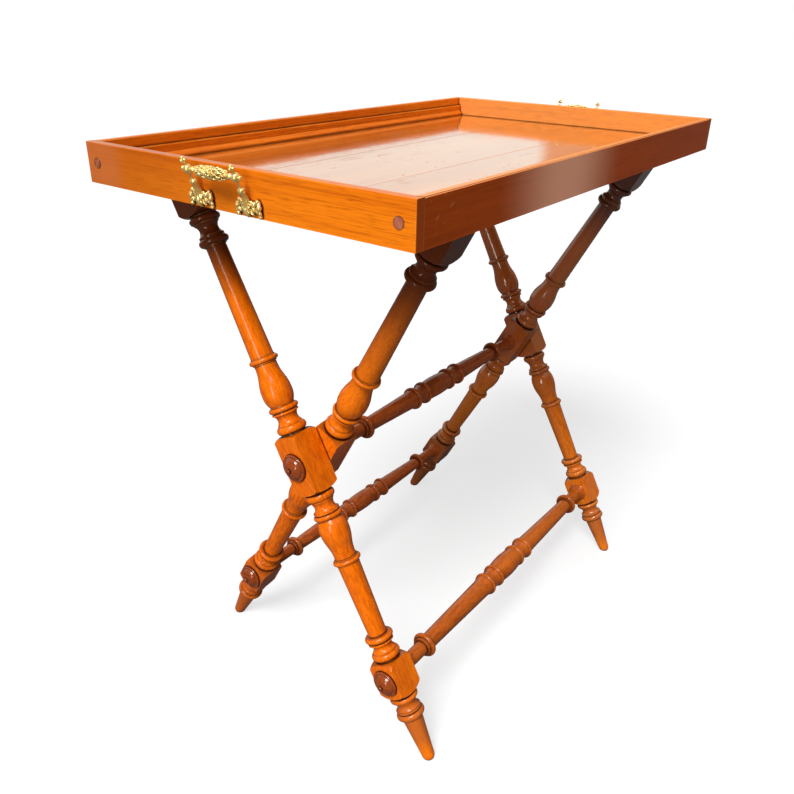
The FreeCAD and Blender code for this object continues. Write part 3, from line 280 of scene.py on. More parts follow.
@dataclass(frozen=True)
class Fade:
    """A soft change of tone on a piece, here mostly painted shade or painted light: full within one distance
    of a level, and gone beyond another.
    """

    axis: Colour
    level: float
    full: float
    gone: float
    colour: Colour
    share: float

    def over(self, sheet: NodeSheet, place: Socket, colour: Socket) -> Socket:
        """Returns a colour with the change laid over it, by the place on the piece."""
        away = sheet.off(sheet.along(place, self.axis), self.level)
        return sheet.lay(colour, self.colour, sheet.between(away, self.gone, self.full), self.share)


@dataclass(frozen=True)
class WoodFinish:
    """A polished wood: its colours and grain, grime and painted shade in its hollows, wear and painted
    highlight on its arrises, and its shine.
    """

    name: str
    light: Colour
    body: Colour
    dark: Colour
    pore: Colour
    pore_strength: float = 0.50
    pore_depth: float = 0.12
    pores: Pattern = Pattern(grained(60.0, 700.0), 0.50, 0.70, swirl=0.3)
    streaks: Pattern = Pattern(grained(5.0, 420.0), 0.25, 0.65, detail=5.0, swirl=0.25)
    bands: Pattern = Pattern(grained(2.2, 20.0), 0.35, 0.75, swirl=0.4)
    clouds: Pattern = Pattern(grained(70.0, 190.0), 0.42, 0.68, detail=4.0)
    mottle: float = 0.0
    # End grain darker: its own tone, with painted shade on ring shoulders and board ends.
    end_grain_and_shade: float = 0.45
    end_facing: Pair = (0.60, 0.95)
    end_grain_and_shade_colour: Colour = (0.022, 0.006, 0.003)
    roughness: float = 0.20
    haze: float = 0.16
    haze_waves: Colour = even(14.0)
    specular: float = 0.30
    coat: float = 0.0
    coat_roughness: float = 0.12
    # Hollows darkened from ambient occlusion: grime and painted shade together.
    open_hollow: float = 0.12
    grime_and_shade: float = 0.72
    grime_and_shade_reach: float = 0.009
    grime_and_shade_full: float = 0.62
    groove: float = 0.95
    groove_reach: float = 0.0036
    groove_full: float = 0.44
    hollow_colour: Colour = (0.022, 0.006, 0.003)
    # Pale arrises: wear and painted highlight together.
    wear_and_highlight: float = 0.35
    arris_reach: float = 0.0016
    arris_facing: Pair = (0.995, 0.90)
    arris_patches: Pattern = Pattern(even(30.0), 0.35, 0.65, detail=3.0)
    arris_gain: float = 1.5
    arris_lift: float = 0.05
    ripple: float = 0.05
    ripple_waves: Colour = grained(9.0, 45.0)
    ripple_height: float = 0.004
    fades: tuple[Fade, ...] = ()

    def tone(self, sheet: NodeSheet, grain: Socket) -> tuple[Socket, Socket]:
        """Returns the wood's colour before dirt and wear.

        Args:
            sheet: nodes of the material.
            grain: place on the piece, with X along its grain.

        Returns:
            The colour, and the pores from 0 to 1.
        """
        pores = self.pores.on(sheet, grain)
        colour = sheet.mix(self.streaks.on(sheet, grain), self.dark, self.body)
        colour = sheet.mix(self.bands.on(sheet, grain), colour, self.light)
        colour = sheet.lay(colour, self.dark, self.clouds.on(sheet, grain), self.mottle)
        return sheet.lay(colour, self.pore, pores, self.pore_strength), pores

    def material(self, direction: Vector, seed: int) -> bpy.types.Material:
        """Makes the finish for a piece.

        Args:
            direction: way that the grain of the piece runs.
            seed: number that gives each piece its own stretch of grain.

        Returns:
            The material.
        """
        material = bpy.data.materials.new(f"{self.name}_{seed}")
        sheet = NodeSheet(material)
        spots = sheet.add("ShaderNodeTexCoord").outputs
        place = spots["Object"]
        turned = direction.rotation_difference(X_AXIS).to_euler()
        grain = sheet.mapped(place, rotation=turned, location=tuple(step * seed for step in GRAIN_STEP))
        colour, pores = self.tone(sheet, grain)
        for fade in self.fades:
            colour = fade.over(sheet, place, colour)
        # End grain darkened, partly its own tone and partly painted shade.
        across = sheet.math("ABSOLUTE", sheet.along(spots["Normal"], tuple(direction)))
        colour = sheet.lay(colour, self.end_grain_and_shade_colour, sheet.between(across, *self.end_facing), self.end_grain_and_shade)
        colour = self.worn(sheet, place, self.marks(sheet, place, colour))
        ripple = sheet.noise(grain, self.ripple_waves)
        height = sheet.math("SUBTRACT", ripple, sheet.times(pores, self.pore_depth))
        normal = self.relief(sheet, place, sheet.bump(height, self.ripple, self.ripple_height))
        cloud = sheet.noise(place, self.haze_waves, detail=3.0)
        rough = sheet.math("MULTIPLY_ADD", cloud, self.haze, self.roughness - self.haze / 2)
        coat, rough = self.shine(sheet, spots["Normal"], rough)
        sheet.finish(sheet.add("ShaderNodeBsdfPrincipled", {
            "Base Color": colour,
            "Roughness": rough,
            "Specular IOR Level": self.specular,
            "Coat Weight": coat,
            "Coat Roughness": self.coat_roughness,
            "Normal": normal,
            "Coat Normal": normal,
        }))
        return material

    def shine(self, sheet: NodeSheet, facing: Socket, rough: Socket) -> tuple[Socket | float, Socket]:
        """Returns the weight of the coat and the roughness, here the same on every face."""
        return self.coat, rough

    def relief(self, sheet: NodeSheet, place: Socket, normal: Socket) -> Socket:
        """Returns the normal with the cuts that only some finishes have, here none."""
        return normal

    def marks(self, sheet: NodeSheet, place: Socket, colour: Socket) -> Socket:
        """Returns the colour with the marks that only some finishes have, here none."""
        return colour

    def worn(self, sheet: NodeSheet, place: Socket, colour: Socket) -> Socket:
        """Returns a colour with grime and painted shade in the hollows, and pale wear and painted highlight
        along the arrises.

        Args:
            sheet: nodes of the material.
            place: place on the piece.
            colour: the clean colour.

        Returns:
            The worn colour.
        """
        # Grime and painted shade in the hollows by ambient occlusion: broad within each piece, tight in
        # grooves and between pieces.
        broad = (self.grime_and_shade_reach, True, self.grime_and_shade_full, self.grime_and_shade)
        tight = (self.groove_reach, False, self.groove_full, self.groove)
        for reach, own, full, share in (broad, tight):
            hollow = sheet.between(sheet.hollows(reach, own), self.open_hollow, full)
            colour = sheet.lay(colour, self.hollow_colour, hollow, share)
        # Pale wear and painted highlight along the arrises, in patches.
        eased = sheet.add("ShaderNodeBevel", {"Radius": self.arris_reach}, samples=4).outputs[0]
        flat = sheet.add("ShaderNodeNewGeometry").outputs["Normal"]
        arris = sheet.between(sheet.along(eased, flat), *self.arris_facing)
        patches = self.arris_patches.on(sheet, place)
        pale = tuple(min(1.0, self.arris_gain * part + self.arris_lift) for part in self.light)
        return sheet.lay(colour, pale, sheet.times(arris, patches), self.wear_and_highlight)


@dataclass(frozen=True)
class PlugFinish(WoodFinish):
    """The end grain of the corner plugs, with a dark glue line round each and a pale streak across it."""

    centre_y: float = 0.0
    centre_z: float = 0.0
    radius: float = 0.0
    glue: float = 0.8
    glue_from: float = 0.82
    streak_way: Colour = (0.80, 0.60, 0.0)
    streak_waves: Colour = even(260.0)
    streak_bend: float = 0.004
    streak_shift: float = 0.002
    streak_edges: Pair = (0.0020, 0.0008)
    streak_share: float = 0.55

    def marks(self, sheet: NodeSheet, place: Socket, colour: Socket) -> Socket:
        """Returns the colour with the dark edge and the pale streak of each plug.

        Args:
            sheet: nodes of the material.
            place: place on the piece.
            colour: the plain colour.

        Returns:
            The marked colour.
        """
        parts = sheet.add("ShaderNodeSeparateXYZ", {0: place}).outputs
        across = sheet.math("SUBTRACT", sheet.math("ABSOLUTE", parts["Y"]), self.centre_y)
        up = sheet.math("SUBTRACT", parts["Z"], self.centre_z)
        out = sheet.add("ShaderNodeCombineXYZ", {0: across, 1: up}).outputs[0]
        away = sheet.add("ShaderNodeVectorMath", {0: out}, operation="LENGTH").outputs["Value"]
        edge = sheet.between(away, self.glue_from * self.radius, self.radius)
        colour = sheet.lay(colour, self.dark, edge, self.glue)
        wave = sheet.times(sheet.noise(place, self.streak_waves), self.streak_bend)
        bent = sheet.math("ADD", sheet.along(out, self.streak_way), wave)
        streak = sheet.between(sheet.off(bent, self.streak_shift), *self.streak_edges)
        return sheet.lay(colour, self.light, streak, self.streak_share)


@dataclass(frozen=True)
class FloorFinish(WoodFinish):
    """The tray's floor, with open seams between its boards and the scratches of long use."""

    seam: float = 0.0
    seam_width: float = 0.0012
    seam_core: float = 0.3
    tight_seam: float = 0.35
    scratch_slant: float = 0.12
    scratches: Pattern = Pattern((16.0, 420.0, 1.0), 0.66, 0.72, detail=1.0)
    scratched: Pattern = Pattern(even(9.0), 0.54, 0.62, detail=1.0)
    dents: Pattern = Pattern((90.0, 170.0, 1.0), 0.80, 0.85, detail=0.0)
    scratch_share: float = 0.7
    scratch_depth: float = 0.0004
    line_dirt: float = 0.8
    top_facing: Pair = (0.2, 0.8)
    dull_below: float = 0.45

    def lines(self, sheet: NodeSheet, place: Socket) -> Socket:
        """Returns the seams and the scratches, from 0 on the sound wood to 1.

        Args:
            sheet: nodes of the material.
            place: place on the piece.

        Returns:
            The lines.
        """
        side = sheet.along(place, ACROSS)
        away = sheet.off(sheet.math("ABSOLUTE", side), self.seam)
        opened = sheet.math("MAXIMUM", sheet.between(side, -self.seam, self.seam), self.tight_seam)
        seams = sheet.times(sheet.between(away, self.seam_width, self.seam_core * self.seam_width), opened)
        slant = sheet.mapped(place, rotation=(0.0, 0.0, self.scratch_slant))
        thin = sheet.times(self.scratches.on(sheet, slant), self.scratched.on(sheet, place))
        cuts = sheet.math("MAXIMUM", thin, self.dents.on(sheet, place))
        return sheet.math("MAXIMUM", seams, sheet.times(cuts, self.scratch_share))

    def marks(self, sheet: NodeSheet, place: Socket, colour: Socket) -> Socket:
        """Returns the colour with dirt in the seams and scratches."""
        return sheet.lay(colour, self.hollow_colour, self.lines(sheet, place), self.line_dirt)

    def shine(self, sheet: NodeSheet, facing: Socket, rough: Socket) -> tuple[Socket | float, Socket]:
        """Returns the weight of the coat and the roughness, polished on top and dull on the underside.

        Args:
            sheet: nodes of the material.
            facing: way that the surface looks.
            rough: roughness of the top.

        Returns:
            The weight and the roughness.
        """
        top = sheet.between(sheet.along(facing, UP), *self.top_facing)
        dull = sheet.times(sheet.math("SUBTRACT", 1.0, top), self.dull_below)
        return sheet.times(top, self.coat), sheet.math("ADD", rough, dull)

    def relief(self, sheet: NodeSheet, place: Socket, normal: Socket) -> Socket:
        """Returns the normal with the seams and scratches cut into it."""
        left = sheet.math("SUBTRACT", 1.0, self.lines(sheet, place))
        return sheet.bump(left, 1.0, self.scratch_depth, normal)


@dataclass(frozen=True)
class FrontFinish(WoodFinish):
    """The front side: an outer face in darker colours that paint its shade, with pale scuffs near its left
    end, and a lighter rim.
    """

    rim: Colour = (0.90, 0.330, 0.090)
    rim_facing: Pair = (0.98, 0.75)
    scuff: Colour = (0.50, 0.20, 0.10)
    scuffs: Pattern = Pattern((70.0, 1.0, 330.0), 0.70, 0.76, detail=1.0)
    scuff_slant: float = 0.7
    scuff_span: Pair = (-0.30, -0.36)

    def marks(self, sheet: NodeSheet, place: Socket, colour: Socket) -> Socket:
        """Returns the colour with scuffs near the left end, and the lighter wood, free of the painted shade,
        on the faces that do not look out to the front.

        Args:
            sheet: nodes of the material.
            place: place on the piece.
            colour: the plain colour.

        Returns:
            The marked colour.
        """
        where = sheet.between(sheet.along(place, ALONG), *self.scuff_span)
        slant = sheet.mapped(place, rotation=(0.0, self.scuff_slant, 0.0))
        colour = sheet.lay(colour, self.scuff, self.scuffs.on(sheet, slant), where)
        # The outer face keeps its painted shade; the other faces turn to the lighter wood.
        facing = sheet.along(sheet.add("ShaderNodeTexCoord").outputs["Normal"], tuple(-Y_AXIS))
        return sheet.mix(sheet.between(facing, *self.rim_facing), colour, self.rim)


@dataclass(frozen=True)
class BrassFinish:
    """Gilt cast brass, bright on its high parts and brown in its hollows."""

    name: str = "gilt_brass"
    bright: Colour = (0.96, 0.77, 0.32)
    warm: Colour = (0.88, 0.60, 0.18)
    hollow_colour: Colour = (0.20, 0.095, 0.018)
    clouds: Pattern = Pattern(even(160.0), 0.35, 0.65, detail=3.0)
    metal: float = 0.66
    roughness: float = 0.26
    hollow_reach: float = 0.0030
    hollow_span: Pair = (0.22, 0.80)
    hollow_dirt: float = 0.85
    hollow_rough: float = 0.30
    grit: float = 0.15
    grit_waves: Colour = even(1500.0)
    grit_height: float = 0.0003

    def material(self) -> bpy.types.Material:
        """Makes the finish.

        Returns:
            The material.
        """
        material = bpy.data.materials.new(self.name)
        sheet = NodeSheet(material)
        place = sheet.add("ShaderNodeTexCoord").outputs["Object"]
        colour = sheet.mix(self.clouds.on(sheet, place), self.warm, self.bright)
        hollow = sheet.between(sheet.hollows(self.hollow_reach), *self.hollow_span)
        grit = sheet.noise(place, self.grit_waves)
        sheet.finish(sheet.add("ShaderNodeBsdfPrincipled", {
            "Base Color": sheet.lay(colour, self.hollow_colour, hollow, self.hollow_dirt),
            "Metallic": self.metal,
            "Roughness": sheet.math("MULTIPLY_ADD", hollow, self.hollow_rough, self.roughness),
            "Normal": sheet.bump(grit, self.grit, self.grit_height),
        }))
        return material


# Changes of tone, most of them painted shade or painted light, from the top of the legs down and then along
# the tray.
# Painted shadow of the tray: near-black brown over the tops of the legs.
UNDER_TRAY_SHADOW = Fade(UP, level=0.75, full=0.04, gone=0.13, colour=(0.075, 0.016, 0.006), share=0.90)
# Painted shade: browner down the upper part of the inner left leg.
INNER_LEFT_TOP_SHADE = Fade(UP, level=0.80, full=0.12, gone=0.28, colour=(0.24, 0.056, 0.018), share=0.4)
# Painted shade: browner over the upper parts of the right legs.
RIGHT_TOP_SHADE = Fade(UP, level=0.62, full=0.20, gone=0.34, colour=(0.37, 0.084, 0.021), share=0.72)
# Darker round the foot blocks, near the floor.
FOOT_DARKER = Fade(UP, level=0.06, full=0.02, gone=0.05, colour=(0.40, 0.100, 0.022), share=0.6)
# Painted shade: browner over the foot and lower shaft of the inner left leg.
INNER_LEFT_FOOT_SHADE = Fade(UP, level=0.0, full=0.12, gone=0.17, colour=(0.36, 0.072, 0.014), share=0.60)
# Painted shade: darker over the foot and lower shaft of the inner right leg.
INNER_RIGHT_FOOT_SHADE = Fade(UP, level=0.0, full=0.13, gone=0.20, colour=(0.26, 0.060, 0.016), share=0.75)
END_SHADE = Fade(ACROSS, level=0.25, full=0.05, gone=0.40, colour=(0.40, 0.078, 0.004), share=0.65)
END_CORNER = Fade(ACROSS, level=0.25, full=0.045, gone=0.08, colour=(0.55, 0.16, 0.06), share=0.4)
# Painted light: the inner face of the right end board made paler.
END_INSIDE_LIGHT = Fade(ALONG, level=0.4055, full=0.003, gone=0.009, colour=(1.0, 0.58, 0.20), share=0.32)
# Painted reflection: a pale satin sheen near the middle of the front side.
FRONT_SHEEN = Fade(ALONG, level=-0.115, full=0.01, gone=0.165, colour=(1.0, 0.47, 0.29), share=0.92)

SHORT_PORES = replace(WoodFinish.pores, waves=grained(320.0, 620.0))
LONG_PORES = replace(WoodFinish.pores, waves=grained(36.0, 900.0))
SHORT_STREAKS = replace(WoodFinish.streaks, waves=grained(60.0, 240.0))

LEG_WOOD = WoodFinish(
    name="leg_wood", light=(0.98, 0.220, 0.002), body=(0.92, 0.175, 0.001), dark=(0.60, 0.094, 0.001),
    pore=(0.42, 0.060, 0.001), pore_strength=0.40, pores=SHORT_PORES, streaks=SHORT_STREAKS, mottle=0.24,
    fades=(UNDER_TRAY_SHADOW, FOOT_DARKER),
)
# The right legs: paler colours that paint light on their lower parts, with painted shade at the top and the
# tray's painted shadow.
RIGHT_LEG_WOOD = replace(
    LEG_WOOD, name="right_leg_wood", light=(1.0, 0.270, 0.010), body=(1.0, 0.225, 0.006),
    dark=(0.74, 0.135, 0.004), specular=0.80, fades=(RIGHT_TOP_SHADE, UNDER_TRAY_SHADOW, FOOT_DARKER),
)
# The inner right leg adds painted shade over its foot.
INNER_RIGHT_LEG_WOOD = replace(
    RIGHT_LEG_WOOD, name="inner_right_leg_wood", fades=(*RIGHT_LEG_WOOD.fades, INNER_RIGHT_FOOT_SHADE),
)
# The inner left leg: a slightly darker copy of the leg wood that paints its shade, with painted shade at the
# top and over the foot.
INNER_LEG_WOOD = replace(
    LEG_WOOD, name="inner_leg_wood", light=(0.94, 0.205, 0.005), body=(0.86, 0.165, 0.003),
    dark=(0.52, 0.086, 0.003), pore=(0.34, 0.052, 0.002), specular=0.16,
    fades=(INNER_LEFT_TOP_SHADE, UNDER_TRAY_SHADOW, INNER_LEFT_FOOT_SHADE),
)
FRONT_STRETCHER_WOOD = replace(
    LEG_WOOD, name="front_stretcher_wood", light=(0.66, 0.150, 0.012), body=(0.52, 0.108, 0.008),
    dark=(0.32, 0.058, 0.006), pore=(0.20, 0.036, 0.006), fades=(),
)
STRETCHER_WOOD = replace(
    FRONT_STRETCHER_WOOD, name="stretcher_wood", light=(0.64, 0.140, 0.020), body=(0.50, 0.102, 0.015),
    dark=(0.28, 0.052, 0.009), pore=(0.16, 0.028, 0.007), specular=0.24,
)
CAP_WOOD = WoodFinish(
    name="cap_wood", light=(0.40, 0.078, 0.010), body=(0.28, 0.050, 0.007), dark=(0.14, 0.024, 0.005),
    pore=(0.08, 0.015, 0.004), roughness=0.16, specular=0.45, end_grain_and_shade=0.0, grime_and_shade_reach=0.004, wear_and_highlight=0.5,
)
FLOOR_WOOD = FloorFinish(
    name="floor_wood", light=(0.80, 0.265, 0.036), body=(0.68, 0.195, 0.022), dark=(0.44, 0.108, 0.012),
    pore=(0.30, 0.066, 0.010), pore_strength=0.20, roughness=0.11, specular=1.0, coat=1.0,
    coat_roughness=0.05, grime_and_shade=0.5, grime_and_shade_reach=0.012, groove=0.3, ripple=0.03,
)
WALL_WOOD = WoodFinish(
    name="wall_wood", light=(0.96, 0.250, 0.006), body=(0.86, 0.195, 0.004), dark=(0.58, 0.108, 0.002),
    pore=(0.42, 0.066, 0.001), pore_strength=0.55, pores=LONG_PORES, roughness=0.30, specular=0.20,
    grime_and_shade_reach=0.006, end_grain_and_shade=0.95, end_grain_and_shade_colour=(0.38, 0.058, 0.004),
)
LEFT_END_WOOD = replace(WALL_WOOD, name="left_end_wood", specular=0.12, fades=(END_SHADE, END_CORNER))
# The right end board, its inner face paler with painted light.
RIGHT_END_WOOD = replace(
    WALL_WOOD, name="right_end_wood", mottle=0.35, pore_strength=0.70, fades=(END_INSIDE_LIGHT,),
)
# The front side: darker colours that paint the shade on its outer face, and a painted sheen near mid-length.
FRONT_WOOD = FrontFinish(
    name="front_wood", light=(0.54, 0.084, 0.006), body=(0.47, 0.070, 0.004), dark=(0.36, 0.053, 0.003),
    pore=(0.28, 0.040, 0.002), pore_strength=0.40, pores=LONG_PORES, roughness=0.30, specular=0.06,
    grime_and_shade_reach=0.006, fades=(FRONT_SHEEN,),
)
PLUG_WOOD = PlugFinish(
    name="plug_wood", light=(0.50, 0.160, 0.085), body=(0.31, 0.072, 0.032), dark=(0.12, 0.024, 0.011),
    pore=(0.06, 0.014, 0.008), roughness=0.30, grime_and_shade=0.0, groove=0.0, end_grain_and_shade=0.0, wear_and_highlight=0.0,
)


class Draft:
    """Closed shells gathered for one casting, before they are fused into one skin."""

    furrow_width = 0.3
    pole_gap = 0.06
    ball_stations = 17
    ease_factor = 0.5
    ease_rounds = 2

    def __init__(self) -> None:
        """Starts with no shells."""
        self.points: list[np.ndarray] = []
        self.faces: list[tuple[int, ...]] = []
        self.count = 0

    def add_rings(self, rings: np.ndarray) -> None:
        """Adds a shell through rings of points, closed by a pole at each end.

        Args:
            rings: points, by ring, place in the ring and axis.
        """
        total, sides = rings.shape[:2]
        first = self.count
        poles = rings[[0, -1]].mean(axis=1)
        self.points.append(np.vstack([rings.reshape(-1, 3), poles]))
        low_pole = first + total * sides
        for side in range(sides):
            following = (side + 1) % sides
            for ring in range(total - 1):
                here = first + ring * sides
                self.faces.append((here + side, here + following,
                                   here + sides + following, here + sides + side))
            last = first + (total - 1) * sides
            self.faces.append((first + following, first + side, low_pole))
            self.faces.append((last + side, last + following, low_pole + 1))
        self.count = low_pole + 2

    def sweep(self, path: np.ndarray, up: Vector, widths: np.ndarray, depths: np.ndarray,
              groove: float = 0.0, sides: int = 20) -> None:
        """Adds a shell along a path, such as a scroll or a leaf.

        Args:
            path: points of the middle line.
            up: way that the leaf's face looks.
            widths: half the width at each point.
            depths: half the thickness at each point.
            groove: depth of the furrow down the middle of the face.
            sides: points round the section.
        """
        tangents = np.gradient(path, axis=0)
        tangents /= np.linalg.norm(tangents, axis=1)[:, None]
        across = np.cross(np.array(up), tangents)
        across /= np.linalg.norm(across, axis=1)[:, None]
        faces = np.cross(tangents, across)
        angles = np.arange(sides) * TURN / sides
        furrow = np.exp(-(np.cos(angles) / self.furrow_width) ** 2) * (np.sin(angles) > 0) * groove
        wide = widths[:, None] * np.cos(angles)
        high = depths[:, None] * (np.sin(angles) - furrow)
        rings = path[:, None, :] + wide[..., None] * across[:, None, :] + high[..., None] * faces[:, None, :]
        self.add_rings(rings)

    def lathe(self, foot: Vector, axis: Vector, profile: list[Pair] | Profile, flutes: int = 0,
              flute_depth: float = 0.0, fluted_to: float = 0.0, sides: int = 36) -> None:
        """Adds a turned shell.

        Args:
            foot: where the profile starts.
            axis: way that it runs.
            profile: radius and height at each station.
            flutes: number of flutes round it.
            flute_depth: depth of the flutes, as a share of the radius.
            fluted_to: height at which the flutes have run out.
            sides: points round it.
        """
        axis = axis.normalized()
        first = axis.orthogonal().normalized()
        second = axis.cross(first)
        radii, heights = (np.array(column) for column in zip(*profile))
        angles = np.arange(sides) * TURN / sides
        depth = flute_depth * np.clip(1.0 - heights / max(fluted_to, 1e-6), 0.0, 1.0) ** 0.5
        around = 1.0 - depth[:, None] * np.abs(np.sin(angles * flutes / 2.0)) if flutes else 1.0
        reach = radii[:, None] * around * np.ones(sides)
        spokes = np.cos(angles)[:, None] * np.array(first) + np.sin(angles)[:, None] * np.array(second)
        rings = np.array(foot) + heights[:, None, None] * np.array(axis) + reach[..., None] * spokes
        self.add_rings(rings)

    def ball(self, centre: Vector, radius: float) -> None:
        """Adds a ball.

        Args:
            centre: middle of the ball.
            radius: its radius.
        """
        stations = np.linspace(self.pole_gap, math.pi - self.pole_gap, self.ball_stations)
        profile = [(radius * math.sin(turn), -radius * math.cos(turn)) for turn in stations]
        self.lathe(centre, Z_AXIS, profile)

    def raw(self, name: str) -> bpy.types.Mesh:
        """Returns the shells as one mesh, not fused."""
        return new_mesh(name, np.vstack(self.points), self.faces)

    def fused(self, name: str, voxel: float, kept: float) -> bpy.types.Mesh:
        """Fuses the shells into one skin, as a casting is.

        Args:
            name: name of the mesh.
            voxel: size of the smallest detail that is kept.
            kept: share of the faces that is kept.

        Returns:
            The mesh.
        """
        rough = new_object(name, self.raw(name))
        skin = rough.modifiers.new("skin", "REMESH")
        skin.mode = "VOXEL"
        skin.voxel_size = voxel
        ease = rough.modifiers.new("ease", "SMOOTH")
        ease.factor = self.ease_factor
        ease.iterations = self.ease_rounds
        fewer = rough.modifiers.new("fewer", "DECIMATE")
        fewer.ratio = kept
        seen = rough.evaluated_get(bpy.context.evaluated_depsgraph_get())
        mesh = bpy.data.meshes.new_from_object(seen)
        bpy.data.objects.remove(rough)
        mesh.name = name
        mesh.shade_smooth()
        return mesh


def bow(start: Vector, bend: Vector, end: Vector, count: int = 14) -> np.ndarray:
    """Returns points along a smooth bow.

    Args:
        start: first point.
        bend: point that draws the bow out.
        end: last point.
        count: number of points.

    Returns:
        The points.
    """
    share = np.linspace(0.0, 1.0, count)[:, None]
    first, second, third = (np.array(point) for point in (start, bend, end))
    return (1 - share) ** 2 * first + 2 * share * (1 - share) * second + share ** 2 * third


def mirrored(base: Vector, step: Colour, hand: int) -> Vector:
    """Returns a point that is a step away from a base, with the step's Y turned by a hand of -1 or 1."""
    return base + Vector((step[0], hand * step[1], step[2]))


@dataclass
class CastHandle:
    """A pair of gilt drop handles, drawn once at the right end and the back, and mirrored from there.

    The leaves of a foot are steps to the root, the bend and the tip, then half the width and the thickness.
    A row of leaves on the grip has its start, its stop, its radius at both and its turn.
    """

    finish: BrassFinish = field(default_factory=BrassFinish)
    voxel: float = 0.0003
    kept_faces: float = 0.3
    thin_sides: int = 14
    relief: float = 0.0027
    scroll_radius: float = 0.0025
    scroll_turns: Pair = (-0.42, 0.80)
    scroll_points: int = 64
    scroll_lift: float = 0.0010
    scallop: float = 0.16
    scallops: float = 5.0
    taper: float = 0.40
    lobe_width: float = 0.0041
    lobe_height: float = 0.0049
    lobe_rise: float = 0.0010
    lobe_beads: tuple[Colour, ...] = ((0.0012, 0.0012, 0.0024), (-0.0048, -0.0012, 0.0018))
    lobe_bead_rise: float = 0.0004
    web_reach: float = 1.2
    web: Profile = ((0.0, 0.0), (0.95, 0.0), (1.0, 0.0006), (0.95, 0.0012), (0.0, 0.0012))
    tail: tuple[Colour, ...] = ((0.0, 0.0030, -0.0040), (0.0006, 0.0064, -0.0052), (-0.0004, 0.0044, -0.0092))
    tail_radii: Pair = (0.0021, 0.0014)
    tail_bead: float = 0.0023
    leaf_points: int = 26
    leaf_scallop: float = 0.34
    leaf_furrow: float = 0.75
    side_leaves: tuple[LeafCut, ...] = (
        (((0.0004, 0.0, 0.0046), (0.0034, 0.0064, 0.0064), (0.0006, 0.0096, 0.0016)), 0.0036, 0.0021),
        (((0.0, 0.0, 0.0), (0.0026, 0.0052, -0.0030), (0.0, 0.0082, -0.0078)), 0.0030, 0.0019))
    middle_leaf: LeafCut = (
        ((0.0012, 0.0, 0.0060), (0.0056, 0.0, -0.0020), (0.0002, 0.0, -0.0102)), 0.0060, 0.0026)
    ball_radius: float = 0.0050
    ear_radius: float = 0.0026
    knop_at: float = 0.57
    knop_radius: float = 0.0044
    neck_radius: float = 0.0017
    stem_radius: float = 0.0052
    grip_radius: float = 0.0052
    grip_end_radius: float = 0.0028
    grip_end_gap: float = 0.0088
    grip_fullness: float = 1.4
    bead_radius: float = 0.0033
    bead_gap: float = 0.0036
    pin_radius: float = 0.0020
    pin_span: Pair = (-0.010, 0.002)
    row_leaves: int = 6
    leaf_rows: tuple[tuple[float, float, float, float, float], ...] = (
        (0.0036, 0.0124, 0.0050, 0.0052, 0.0), (0.0100, 0.0184, 0.0044, 0.0046, 0.5),
        (0.0160, 0.0236, 0.0034, 0.0038, 0.0))
    row_bulge: float = 0.0018
    row_width: float = 0.55
    row_depth: float = 0.0013
    berry_radius: float = 0.0011
    flower_count: int = 6
    flower_eye: float = 0.0013
    petal_count: int = 5
    petal_length: float = 0.0044
    petal_arch: float = 0.0016
    petal_width: float = 0.0016
    petal_depth: float = 0.0010
    bud: Profile = ((0.0022, 0.0038), (0.0016, 0.0056), (0.0013, 0.0078), (0.0022, 0.0090),
                    (0.0027, 0.0110), (0.0024, 0.0130), (0.0014, 0.0146), (0.0002, 0.0152))
    crown_at: float = 0.0108
    crown_beads: int = 4
    crown_reach: float = 0.0026
    crown_bead: float = 0.0015
    screw_head_radius: float = 0.0025
    dome_radius: float = 0.0022
    dome_rise: float = 0.0012
    slot_half: float = 0.00032
    slot_depth: float = 0.0006

    def __post_init__(self) -> None:
        """Reads the handle's places from the frame, as if it were at the right end and the back."""
        self.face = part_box("tray_end_right")[1].x
        self.axis_x = middle("right_handle_grip").x
        self.axis_z = middle("right_handle_grip").z
        self.post_y = middle("right_handle_post_back").y
        self.lobe_z = middle("right_handle_screws").z
        self.lobe_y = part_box("right_handle_screws")[1].y - self.post_y - self.screw_head_radius
        self.foot = Vector((self.face + self.relief, self.post_y, self.lobe_z - self.lobe_rise))
        self.ball = Vector((self.axis_x, self.post_y, self.axis_z))
        self.heart = Vector((self.axis_x, 0.0, self.axis_z))
        self.stem_way = (self.ball - self.foot).normalized()

    def scroll(self, draft: Draft, hand: int) -> None:
        """Adds one side lobe of a foot: a scalloped scroll round an eye, a web behind it, a tail and beads.

        Args:
            draft: shells of the post.
            hand: side of the post, -1 or 1.
        """
        eye = Vector((self.face + self.relief, self.post_y + hand * self.lobe_y, self.lobe_z))
        turns = np.linspace(*self.scroll_turns, self.scroll_points) * TURN
        share = np.linspace(-1.0, 1.0, turns.size)
        lift = self.scroll_lift * np.cos(turns * 2.0)
        out = hand * self.lobe_width * np.cos(turns)
        up = self.lobe_height * np.sin(turns)
        path = np.array(eye) + np.stack([lift, out, up], axis=1)
        scallops = 1.0 + self.scallop * np.cos(turns * self.scallops)
        thick = self.scroll_radius * scallops * (1.0 - self.taper * share ** 4)
        draft.sweep(path, X_AXIS, thick, thick, sides=self.thin_sides)
        web = [(max(part * self.lobe_width * self.web_reach, 1e-5), rise) for part, rise in self.web]
        draft.lathe(Vector((self.face, eye.y, eye.z)), X_AXIS, web)
        ends = [mirrored(eye, step, hand) for step in self.tail]
        tail = bow(*ends)
        thin = np.linspace(*self.tail_radii, len(tail))
        draft.sweep(tail, X_AXIS, thin, thin, sides=self.thin_sides)
        draft.ball(ends[-1], self.tail_bead)
        for side, rise, radius in self.lobe_beads:
            draft.ball(mirrored(eye, (self.lobe_bead_rise, side, self.lobe_height + rise), hand), radius)

